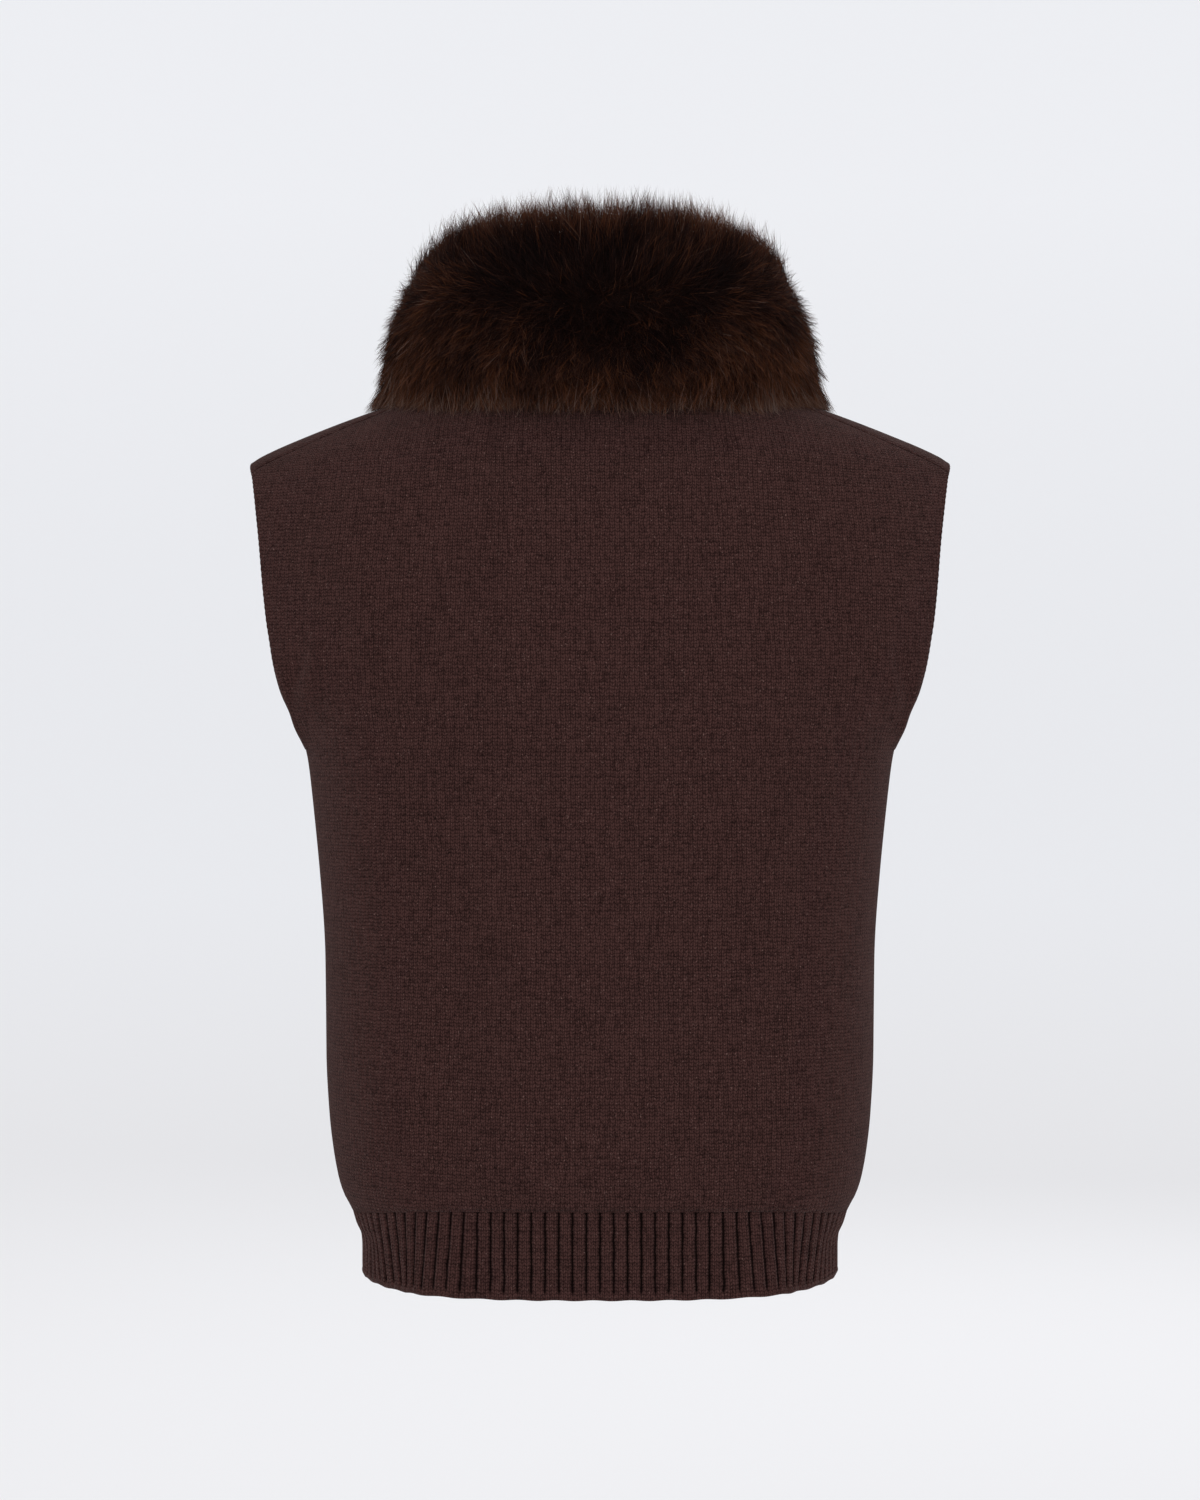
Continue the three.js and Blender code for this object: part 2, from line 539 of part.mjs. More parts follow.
// The pull tab about its pin: a flat tab that hangs down the zip, with an eye round the pin.
function zipPullTab() {
  const thick = 1.5;
  const width = 2 * (PIN.cheek - 0.55);
  const long = ZIP.tabLong;
  const outline = new THREE.Shape();
  outline.moveTo(-width / 2, 0);
  outline.lineTo(-width / 2, -5);
  outline.lineTo(-4, -9);
  outline.lineTo(-4, -long + 4);
  outline.absarc(0, -long + 4, 4, Math.PI, 2 * Math.PI, false);
  outline.lineTo(4, -9);
  outline.lineTo(width / 2, -5);
  outline.lineTo(width / 2, 0);
  const slot = new THREE.Path();
  slot.absarc(0, -long + 5, 1.9, 0, 2 * Math.PI, true);
  outline.holes.push(slot);
  const flat = new THREE.ExtrudeGeometry(outline, { depth: thick, bevelEnabled: false, curveSegments: 8 })
    .translate(0, 0, -thick / 2).rotateX(Math.PI / 2);
  const solid = solidOf(flat).add(barAlongX(PIN.eyeOuter, width, 0, 0))
    .subtract(barAlongX(PIN.eye, width + 2, 0, 0));
  return geometryOf(solid);
}

const KNIT_BROWN = { color: 0x35231f, roughness: 0.96, metalness: 0 };
const RIB_BROWN = { color: 0x2f201f, roughness: 0.96, metalness: 0 };
const FUR_BROWN = { color: 0x1d110d, roughness: 0.85, metalness: 0 };
const TAPE_BROWN = { color: 0x241815, roughness: 0.9, metalness: 0 };
const DARK_METAL = { color: 0x4a433d, roughness: 0.35, metalness: 1 };

const jacket = new THREE.Group();

function addPiece(name, geometry, look) {
  const mesh = new THREE.Mesh(geometry, new THREE.MeshStandardMaterial(look));
  mesh.name = name;
  jacket.add(mesh);
  return mesh;
}

addPiece('back_panel', backPanel(), KNIT_BROWN);
addPiece('front_left', frontPanel(1), KNIT_BROWN);
addPiece('front_right', frontPanel(-1), KNIT_BROWN);
addPiece('hem_rib_back', backBand(), RIB_BROWN);
addPiece('hem_rib_front_left', frontBand(1), RIB_BROWN);
addPiece('hem_rib_front_right', frontBand(-1), RIB_BROWN);
addPiece('fur_collar', furCollar(), FUR_BROWN);
addPiece('zip_tape_left', zipTape(1), TAPE_BROWN);
addPiece('zip_tape_right', zipTape(-1), TAPE_BROWN);
addPiece('zip_chain', zipChain(), DARK_METAL);

// The slider sits on the chain just below its top, leaning with the cloth there.
const [beneath, over] = [behindFront(0, ZIP.sliderZ - 6, 0), behindFront(0, ZIP.sliderZ + 6, 0)];
const lean = Math.atan2(over.y - beneath.y, over.z - beneath.z);
const seat = behindFront(0, ZIP.sliderZ, ZIP.chainOuter);
const slider = addPiece('zip_slider', zipSlider(), DARK_METAL);
slider.position.copy(seat);
slider.rotation.x = -lean;
const tab = addPiece('zip_pull_tab', zipPullTab(), DARK_METAL);
tab.rotation.x = -lean;
tab.position.copy(new THREE.Vector3(0, PIN.y, PIN.z).applyAxisAngle(new THREE.Vector3(1, 0, 0), -lean).add(seat));

export default jacket;
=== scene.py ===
"""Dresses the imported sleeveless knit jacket: stockinette panels, ribbed hem, zip and fur collar.

All forms are worked out in millimetres in the row frame (+Z up, the wearer's back at +Y, the wearer's
left at +X) and become metres when a mesh is made.
"""

import logging
import math
from dataclasses import dataclass, field
from enum import Enum
from typing import Sequence

import bmesh
import bpy
import numpy as np
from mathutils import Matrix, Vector


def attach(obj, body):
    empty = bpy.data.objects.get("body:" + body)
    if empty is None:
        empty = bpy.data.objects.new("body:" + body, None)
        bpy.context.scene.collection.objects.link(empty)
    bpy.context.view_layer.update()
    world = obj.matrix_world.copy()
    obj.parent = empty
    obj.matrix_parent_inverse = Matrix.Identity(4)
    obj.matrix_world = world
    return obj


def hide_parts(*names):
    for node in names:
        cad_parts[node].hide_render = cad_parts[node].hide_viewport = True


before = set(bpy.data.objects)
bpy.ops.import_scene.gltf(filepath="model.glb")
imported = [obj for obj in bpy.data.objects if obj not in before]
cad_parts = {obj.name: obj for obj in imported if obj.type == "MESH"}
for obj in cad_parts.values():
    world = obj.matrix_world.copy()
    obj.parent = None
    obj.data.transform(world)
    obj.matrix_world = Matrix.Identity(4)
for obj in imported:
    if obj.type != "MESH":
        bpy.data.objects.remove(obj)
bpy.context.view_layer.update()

LOG = logging.getLogger("jacket")
MM = 0.001
BODY = "jacket"
HAIRLINE = 1e-6  # mm within which two places are the same
Grid = np.ndarray
Pair = tuple[float, float]
Colour = tuple[float, float, float]


class Side(Enum):
    """Which half of the jacket a piece of cloth belongs to."""

    BACK = "back"
    FRONT = "front"


class Hand(Enum):
    """The wearer's hand that a piece lies at."""

    LEFT = 1
    RIGHT = -1


class Map(Enum):
    """Names of the coordinate maps that the finishes read."""

    STITCH = "Stitch"
    STRAND = "Strand"


def smooth(low: float, high: float, value: Grid | float) -> Grid:
    """Ease from 0 at low to 1 at high."""
    t = np.clip((np.asarray(value, float) - low) / (high - low), 0, 1)
    return t * t * (3 - 2 * t)


def blend(a: Grid | float, b: Grid | float, t: Grid | float) -> Grid:
    """Give the value a share t of the way from a to b."""
    return a + (b - a) * t


def unit(vectors: Grid) -> Grid:
    """Give vectors of length 1 along the given ones."""
    return vectors / np.maximum(np.linalg.norm(vectors, axis=-1, keepdims=True), 1e-12)


class Table:
    """A short table of sizes, read smoothly between its rows."""

    def __init__(self, *rows: Sequence[float]) -> None:
        """Keep the rows and their slopes.

        Args:
            rows: each holds a place followed by its values; places rise from row to row.
        """
        data = np.array(rows, float)
        self.place, self.values = data[:, 0], data[:, 1:]
        step = np.diff(self.place)
        slope = np.diff(self.values, axis=0) / step[:, None]
        inner = np.where(
            slope[1:] * slope[:-1] > 0, 2 * slope[1:] * slope[:-1] / (slope[1:] + slope[:-1] + 1e-12), 0
        )
        self.tangent = np.vstack([np.zeros_like(slope[:1]), inner, slope[-1:]])

    def read(self, place: Grid | float, column: int = 0) -> Grid:
        """Values of one column.

        Args:
            place: where to read, of any shape.
            column: which of the row's values.

        Returns:
            The values, in the shape of place.
        """
        at = np.asarray(place, float)
        i = np.clip(np.searchsorted(self.place, at, side="right") - 1, 0, len(self.place) - 2)
        wide = self.place[i + 1] - self.place[i]
        t = np.clip((at - self.place[i]) / wide, 0, 1)
        a, b = self.values[i, column], self.values[i + 1, column]
        ta, tb = self.tangent[i, column] * wide, self.tangent[i + 1, column] * wide
        return (
            (2 * t**3 - 3 * t**2 + 1) * a
            + (t**3 - 2 * t**2 + t) * ta
            + (3 * t**2 - 2 * t**3) * b
            + (t**3 - t**2) * tb
        )


@dataclass(frozen=True)
class Fold:
    """A soft ridge or trough of the cloth, in mm: its middle, half sizes, rise and lean in degrees."""

    x: float
    z: float
    long: float
    wide: float
    rise: float
    lean: float = 0.0

    def height(self, x: Grid, z: Grid) -> Grid:
        """How far the fold lifts the cloth.

        Args:
            x: places across the jacket.
            z: heights.

        Returns:
            The lift at each place, negative in a trough.
        """
        lean = math.radians(self.lean)
        dx, dz = x - self.x, z - self.z
        across = (dx * math.cos(lean) - dz * math.sin(lean)) / self.wide
        along = np.abs(dx * math.sin(lean) + dz * math.cos(lean)) / self.long
        return self.rise * np.exp(-across * across) * (1 - smooth(0.55, 1.15, along))


BACK_FOLDS = (
    Fold(60, -375, 140, 17, 2.6, 2),
    Fold(95, -372, 118, 12, -2.0, -2),
    Fold(-37, -340, 165, 22, -2.8, 3),
    Fold(-107, -244, 78, 24, 2.3, -4),
    Fold(118, -228, 104, 25, -1.9, 5),
    Fold(-151, -152, 52, 20, -1.6, -10),
    Fold(158, -108, 48, 13, 1.8, 24),
    Fold(128, -448, 34, 26, 2.2),
    Fold(-124, -446, 38, 24, 2.0),
)
BACK_CREASES = (
    Fold(203, -182, 44, 5.5, -1.7, -16),
    Fold(194, -176, 40, 6.0, 1.1, -17),
    Fold(-203, -184, 46, 5.5, -1.6, 16),
    Fold(-194, -178, 40, 6.5, 1.0, 18),
    Fold(30, -60, 34, 9, 0.5, 70),
    Fold(-52, -96, 38, 11, 0.5, -74),
)
FRONT_FOLDS = (
    Fold(88, -330, 130, 20, 2.4, 4),
    Fold(124, -390, 90, 15, -2.0, 6),
    Fold(-80, -300, 110, 22, -2.2, -3),
    Fold(-112, -400, 96, 19, 2.3, -2),
    Fold(150, -160, 60, 18, -1.8, 16),
    Fold(-148, -140, 54, 20, 1.7, -20),
)
FRONT_CREASES = (
    Fold(202, -182, 42, 5.5, -1.5, -16),
    Fold(-202, -180, 44, 5.5, -1.6, 16),
    Fold(60, -110, 40, 10, 0.6, 62),
)


@dataclass(frozen=True)
class JacketForm:
    """The outer face of the worn cloth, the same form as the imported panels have. Sizes in mm."""

    knit: float = 3.0
    band_wall: float = 2.2
    seam_gap: float = 0.4
    underarm: float = -214.0
    shaped: float = -130.0
    bend: float = -120.0
    tip_x: float = 232.8
    seam_mid: float = -509.0
    seam_side: float = -518.5
    hem_mid: float = -566.0
    hem_side: float = -561.0
    armhole_reach: float = 52.0
    bend_power: float = 2.2
    wing_power: float = 3.0
    neck_x: float = 72.0
    neck_back: float = 58.0
    neck_front: float = -90.0
    zip_gap: float = 6.0
    band_power: float = 2.7
    body_power: float = 2.4
    outline: Table = Table(
        (-570, 158.5), (-543, 158.5), (-535, 159.1), (-527, 162.5), (-518.5, 165.2), (-507, 171.2),
        (-496, 174.5), (-476, 177.9), (-455, 180.2), (-415, 182.6), (-355, 183.2), (-295, 187.3),
        (-235, 193.3), (-214, 196.6), (-194, 203.9), (-174, 210.9), (-154, 215.4), (-114, 220.4),
        (-74, 224.1), (-34, 229.8), (-22, 232.8), (60, 232.8),
    )  # fmt: skip
    depths: Table = Table(
        (-570, 117, 118), (-527, 117.5, 118.5), (-509, 119, 120), (-496, 122, 123), (-470, 123, 125),
        (-380, 119, 125), (-280, 116, 123), (-200, 114, 117), (-120, 110, 108), (60, 110, 108),
    )  # fmt: skip
    crest_line: Table = Table(
        (0, 41.5), (72, 40), (110, 28), (150, 13), (190, -2), (226, -17.4), (234, -22.6)
    )  # fmt: skip

    @property
    def neck_f(self) -> float:
        """The column on which the neck meets the shoulder seam."""
        return self.neck_x / self.tip_x

    def half(self, z: Grid | float) -> Grid:
        """Half the width at heights z."""
        return self.outline.read(z)

    def crest(self, x: Grid | float) -> Grid:
        """Height of the shoulder's crest at places x."""
        return self.crest_line.read(np.abs(x))

    def seam(self, f: Grid | float) -> Grid:
        """Height of the seam between the body and the hem band on columns f."""
        return blend(self.seam_mid, self.seam_side, np.abs(f) ** 4)

    def hem(self, f: Grid | float) -> Grid:
        """Height of the hem's edge on columns f."""
        return blend(self.hem_mid, self.hem_side, np.abs(f) ** 5)

    def reach(self, f: Grid, z: Grid | float, side: Side) -> Grid:
        """Reach from the plane of the side seams, below the shoulder's bend.

        Args:
            f: columns, from -1 to 1 across the width.
            z: heights.
            side: back or front.

        Returns:
            The reach, positive on either side.
        """
        across = np.minimum(1, np.abs(f))
        depth = self.depths.read(z, 0 if side is Side.BACK else 1)
        power = blend(self.band_power, self.body_power, smooth(-540, -300, z))
        round_ = depth * (1 - across**power) ** (1 / power)
        wing = self.armhole_reach + (depth - self.armhole_reach) * (1 - across**self.wing_power)
        t = smooth(self.underarm, self.shaped, z)
        u = np.clip((np.asarray(z, float) - self.underarm) / (self.bend - self.underarm), 0, 1)
        edge = self.armhole_reach * (1 - (1 - u) ** self.bend_power) ** (1 / self.bend_power)
        turned = blend(60, 18, smooth(self.underarm, self.underarm + 45, z))
        return blend(round_, wing, t) + (edge - t * self.armhole_reach) * across**turned

    def wall(self, f: Grid, z: Grid, side: Side) -> Grid:
        """Points of the outer face below the bend.

        Args:
            f: columns.
            z: heights, of the same shape.
            side: back or front.

        Returns:
            Points, with a last axis of three.
        """
        y = self.reach(f, z, side) * (1 if side is Side.BACK else -1)
        return np.stack([f * self.half(z), y, z], -1)

    def arch(self, f: Grid, turn: Grid) -> Grid:
        """Points of the outer face in the shoulder's bend.

        Args:
            f: columns.
            turn: from 0 at the front over the crest at pi / 2 to pi at the back.

        Returns:
            Points, with a last axis of three.
        """
        rise = np.clip(np.sin(turn), 0, 1) ** (2 / self.bend_power)
        away = np.abs(np.cos(turn)) ** (2 / self.bend_power)
        z = np.zeros_like(rise)
        for _ in range(4):
            z = blend(self.bend, self.crest(f * self.half(z)), rise)
        back, front = self.reach(f, self.bend, Side.BACK), -self.reach(f, self.bend, Side.FRONT)
        y = np.where(turn > math.pi / 2, back, front) * away
        return np.stack([f * self.half(z), y, z], -1)

    def seam_turn(self, f: Grid) -> Grid:
        """Turn at which the shoulder seam crosses columns, just behind the crest.

        Args:
            f: columns.

        Returns:
            The turn at each column.
        """
        x = np.abs(f) * self.tip_x
        drop = blend(3, 9, smooth(self.neck_x, self.tip_x, x))
        height = self.crest(x) - self.bend
        return math.pi - np.arcsin(((height - drop) / height) ** (self.bend_power / 2))

    def top_turn(self, f: Grid, side: Side) -> Grid:
        """Turn at which columns f end, at the neck opening or at the shoulder seam.

        Args:
            f: columns.
            side: back or front.

        Returns:
            The turn of each column's end.
        """
        corner = self.arch(np.array([self.neck_f]), self.seam_turn(np.array([self.neck_f])))[0, 1]
        round_ = np.sqrt(np.clip(1 - (f / self.neck_f) ** 2, 0, 1))
        y = blend(corner, self.neck_back if side is Side.BACK else self.neck_front, round_)
        own = np.where(y > 0, self.reach(f, self.bend, Side.BACK), self.reach(f, self.bend, Side.FRONT))
        turn = np.arccos(np.minimum(1, np.abs(y) / own) ** (self.bend_power / 2))
        turn = np.where(y > 0, math.pi - turn, turn)
        return np.where(np.abs(f) < self.neck_f - HAIRLINE, turn, self.seam_turn(f))

    def cloth_z(self, x: Grid, y: Grid) -> Grid:
        """Height of the cloth above places in plan, near the neck and shoulders.

        Args:
            x: places across.
            y: places from front to back.

        Returns:
            The height of the outer face.
        """
        z = np.zeros_like(np.asarray(x, float))
        for _ in range(5):
            f = np.abs(x) / self.half(z)
            own = np.where(y > 0, self.reach(f, self.bend, Side.BACK), self.reach(f, self.bend, Side.FRONT))
            share = np.minimum(1, np.abs(y) / own)
            z = blend(self.bend, self.crest(x), (1 - share**self.bend_power) ** (1 / self.bend_power))
        return z


FORM = JacketForm()


# ---------------------------------------------------------------------------------------------------
# Meshes
# ---------------------------------------------------------------------------------------------------


class Mesh:
    """Makes Blender objects from arrays of points and faces, in millimetres."""

    @staticmethod
    def make(name: str, points: Grid, faces: Sequence[Grid], maps: dict[Map, Grid]) -> bpy.types.Object:
        """Make one object.

        Args:
            name: the object's name.
            points: its points, in mm.
            faces: arrays of corner numbers, one array for each count of corners.
            maps: coordinates of each point, by map.

        Returns:
            The object, smooth shaded and linked to the scene.
        """
        mesh = bpy.data.meshes.new(name)
        mesh.from_pydata((points.reshape(-1, 3) * MM).tolist(), [], [f for a in faces for f in a.tolist()])
        corners = np.concatenate([a.reshape(-1) for a in faces])
        for key, values in maps.items():
            layer = mesh.uv_layers.new(name=key.value)
            layer.data.foreach_set("uv", values.reshape(-1, 2)[corners].astype(np.float32).reshape(-1))
        mesh.polygons.foreach_set("use_smooth", [True] * len(mesh.polygons))
        mesh.update()
        piece = bpy.data.objects.new(name, mesh)
        bpy.context.scene.collection.objects.link(piece)
        return piece

    @staticmethod
    def quads(rows: int, columns: int, start: int = 0, around: bool = False) -> Grid:
        """Corner numbers of a grid's faces.

        Args:
            rows: how many rows of points.
            columns: how many points in a row.
            start: number of the grid's first point.
            around: whether the last column joins the first.

        Returns:
            An array of four corners a face.
        """
        c = np.arange(columns if around else columns - 1)
        r = np.arange(rows - 1)[:, None] * columns
        after = (c + 1) % columns
        block = np.stack([r + c, r + after, r + columns + after, r + columns + c], -1)
        return block.reshape(-1, 4) + start

    @staticmethod
    def normals(grid: Grid) -> Grid:
        """Unit normals of a grid of points, along columns crossed with rows."""
        return unit(np.cross(np.gradient(grid, axis=1), np.gradient(grid, axis=0)))

    @classmethod
    def shell(cls, name: str, outer: Grid, inner: Grid, stitch: Grid) -> bpy.types.Object:
        """Make a closed wall between two grids of points.

        Args:
            name: the object's name.
            outer: points of the outer face, rows by columns by three.
            inner: points of the inner face.
            stitch: stitch coordinates of the outer face, rows by columns by two.

        Returns:
            The object.
        """
        rows, columns = outer.shape[:2]
        count = rows * columns
        front = cls.quads(rows, columns)
        back = cls.quads(rows, columns, count)[:, ::-1]
        n = np.arange(count).reshape(rows, columns)
        rims = []
        for edge, turned in ((n[0], True), (n[-1], False), (n[:, 0], False), (n[:, -1], True)):
            strip = np.stack([edge[:-1], edge[1:], edge[1:] + count, edge[:-1] + count], -1)
            rims.append(strip[:, ::-1] if turned else strip)
        faces = np.concatenate([front, back, *rims])
        points = np.concatenate([outer.reshape(-1, 3), inner.reshape(-1, 3)])
        a, b, c, d = (points[faces[:, k]] for k in range(4))
        volume = (a * (np.cross(b, c) + np.cross(c, d))).sum()
        if volume < 0:
            faces = faces[:, ::-1]
        return cls.make(name, points, [faces], {Map.STITCH: np.concatenate([stitch, stitch]).reshape(-1, 2)})

    @classmethod
    def tube(cls, name: str, path: Grid, radius: Grid | float, sides: int = 10) -> bpy.types.Object:
        """Make a closed tube along a path.

        Args:
            name: the object's name.
            path: its middle line.
            radius: its radius, one for all or one a point.
            sides: corners round it.

        Returns:
            The object, with stitch coordinates along and round it.
        """
        ahead = unit(np.gradient(path, axis=0))
        up = np.where(np.abs(ahead[:, 2:3]) > 0.9, [[0.0, 1.0, 0.0]], [[0.0, 0.0, 1.0]])
        across = unit(np.cross(ahead, up))
        over = np.cross(across, ahead)
        angle = np.linspace(0, 2 * math.pi, sides, endpoint=False)
        wide = np.broadcast_to(np.asarray(radius, float), len(path))[:, None, None]
        ring = across[:, None] * np.cos(angle)[:, None] + over[:, None] * np.sin(angle)[:, None]
        points = path[:, None] + ring * wide
        faces = cls.quads(len(path), sides, around=True)
        walk = np.concatenate([[0], np.cumsum(np.linalg.norm(np.diff(path, axis=0), axis=1))])
        places = np.stack(np.broadcast_arrays(angle[None] * 1.5, walk[:, None]), -1)
        count = len(path) * sides
        points = np.concatenate([points.reshape(-1, 3), path[:1], path[-1:]])
        places = np.concatenate([places.reshape(-1, 2), [[0, 0]], [[0, walk[-1]]]])
        k = np.arange(sides)
        after = (k + 1) % sides
        first = np.stack([np.full(sides, count), after, k], -1)
        last = np.stack([np.full(sides, count + 1), count - sides + k, count - sides + after], -1)
        return cls.make(name, points, [faces[:, ::-1], first[:, ::-1], last[:, ::-1]], {Map.STITCH: places})

    @staticmethod
    def face_out(piece: bpy.types.Object) -> None:
        """Turn a closed mesh's faces to point out of it.

        Args:
            piece: the object whose mesh is turned.
        """
        work = bmesh.new()
        work.from_mesh(piece.data)
        bmesh.ops.recalc_face_normals(work, faces=work.faces)
        work.to_mesh(piece.data)
        work.free()


# ---------------------------------------------------------------------------------------------------
# Finishes
# ---------------------------------------------------------------------------------------------------


class Shade:
    """A socket of a material, written with the usual operators."""

    def __init__(self, paint: "Paint", socket: bpy.types.NodeSocket) -> None:
        """Wrap a socket of a paint's tree."""
        self.paint, self.socket = paint, socket

    def __add__(self, other: "Shade | float") -> "Shade":
        """Sum."""
        return self.paint.maths("ADD", self, other)

    def __sub__(self, other: "Shade | float") -> "Shade":
        """Difference."""
        return self.paint.maths("SUBTRACT", self, other)

    def __rsub__(self, other: float) -> "Shade":
        """Difference from a number."""
        return self.paint.maths("SUBTRACT", other, self)

    def __mul__(self, other: "Shade | float") -> "Shade":
        """Product."""
        return self.paint.maths("MULTIPLY", self, other)

    def __truediv__(self, other: "Shade | float") -> "Shade":
        """Quotient."""
        return self.paint.maths("DIVIDE", self, other)

    def __pow__(self, other: float) -> "Shade":
        """Power."""
        return self.paint.maths("POWER", self, other)

    def __abs__(self) -> "Shade":
        """Distance from zero."""
        return self.paint.maths("ABSOLUTE", self)

    __radd__ = __add__
    __rmul__ = __mul__

    def part(self) -> "Shade":
        """What is left after the whole number."""
        return self.paint.maths("FRACT", self)

    def whole(self) -> "Shade":
        """The whole number below."""
        return self.paint.maths("FLOOR", self)

    def limit(self) -> "Shade":
        """The value kept from 0 to 1."""
        return self.paint.node("ShaderNodeClamp", {}, {"Value": self})


class Paint:
    """The node tree of one material."""

    def __init__(self, name: str) -> None:
        """Start an empty material.

        Args:
            name: the material's name.
        """
        self.material = bpy.data.materials.new(name)
        self.material.use_nodes = True
        self.tree = self.material.node_tree
        self.tree.nodes.clear()

    def node(
        self, kind: str, settings: dict[str, object], inputs: dict[str | int, object], out: int | None = 0
    ) -> Shade | None:
        """Add one node.

        Args:
            kind: the node's type.
            settings: its settings, set first; stops are a ramp's places and colours.
            inputs: values or links of its sockets.
            out: which of its outputs to return, or None for a node without any.

        Returns:
            That output, or None.
        """
        node = self.tree.nodes.new(kind)
        for key, value in settings.items():
            if key == "stops":
                ramp = node.color_ramp.elements
                while len(ramp) < len(value):
                    ramp.new(0.5)
                for stop, (place, colour) in zip(ramp, value):
                    stop.position, stop.color = place, (*colour, 1)
            else:
                setattr(node, key, value)
        for key, value in inputs.items():
            if isinstance(value, Shade):
                self.tree.links.new(value.socket, node.inputs[key])
            else:
                node.inputs[key].default_value = value
        return None if out is None else Shade(self, node.outputs[out])

    def maths(self, operation: str, *values: "Shade | float") -> Shade:
        """A Math node of that operation on the values."""
        return self.node("ShaderNodeMath", {"operation": operation}, dict(enumerate(values)))

    def mix(self, factor: Shade | float, a: object, b: object, way: str = "MIX") -> Shade:
        """A mixed colour.

        Args:
            factor: how much of b.
            a: first colour, linked or as red, green, blue.
            b: second colour.
            way: the blend type.

        Returns:
            The colour.
        """
        colour = [(*c, 1) if isinstance(c, tuple) else c for c in (a, b)]
        settings = {"data_type": "RGBA", "blend_type": way}
        return self.node("ShaderNodeMix", settings, {0: factor, 6: colour[0], 7: colour[1]}, 2)

    def place(self, key: Map) -> tuple[Shade, Shade]:
        """Read one of the piece's coordinate maps.

        Args:
            key: which map.

        Returns:
            Its two coordinates.
        """
        held = self.node("ShaderNodeUVMap", {"uv_map": key.value}, {})
        split = self.node("ShaderNodeSeparateXYZ", {}, {0: held})
        return split, Shade(self, split.socket.node.outputs[1])

    def grain(self, scale: float, detail: float = 2.0, where: Shade | None = None) -> Shade:
        """Noise over the piece.

        Args:
            scale: how fine it is, per metre of the object, or per unit of where.
            detail: how many finer layers it has.
            where: coordinates, if not the object's own.

        Returns:
            A value about 0.5.
        """
        at = where or self.node("ShaderNodeTexCoord", {}, {}, 3)
        return self.node("ShaderNodeTexNoise", {}, {"Vector": at, "Scale": scale, "Detail": detail})

    def finish(
        self, colour: Shade | Colour, fixed: dict[str, object], linked: dict[str, Shade]
    ) -> bpy.types.Material:
        """Close the material with its shader.

        Args:
            colour: base colour.
            fixed: values set on the shader's own sockets.
            linked: sockets that change over the surface.

        Returns:
            The material.
        """
        base = (*colour, 1) if isinstance(colour, tuple) else colour
        shader = self.node("ShaderNodeBsdfPrincipled", {}, {"Base Color": base, **fixed, **linked})
        self.node("ShaderNodeOutputMaterial", {}, {0: shader}, None)
        return self.material

    def bump(self, height: Shade, strength: float, distance: float) -> Shade:
        """A bumped normal: how strong it is, and how high its relief in metres."""
        return self.node("ShaderNodeBump", {}, {"Strength": strength, "Distance": distance, "Height": height})

    def join(self, across: Shade | float, up: Shade | float) -> Shade:
        """Two values as one pair of coordinates."""
        return self.node("ShaderNodeCombineXYZ", {}, {0: across, 1: up})


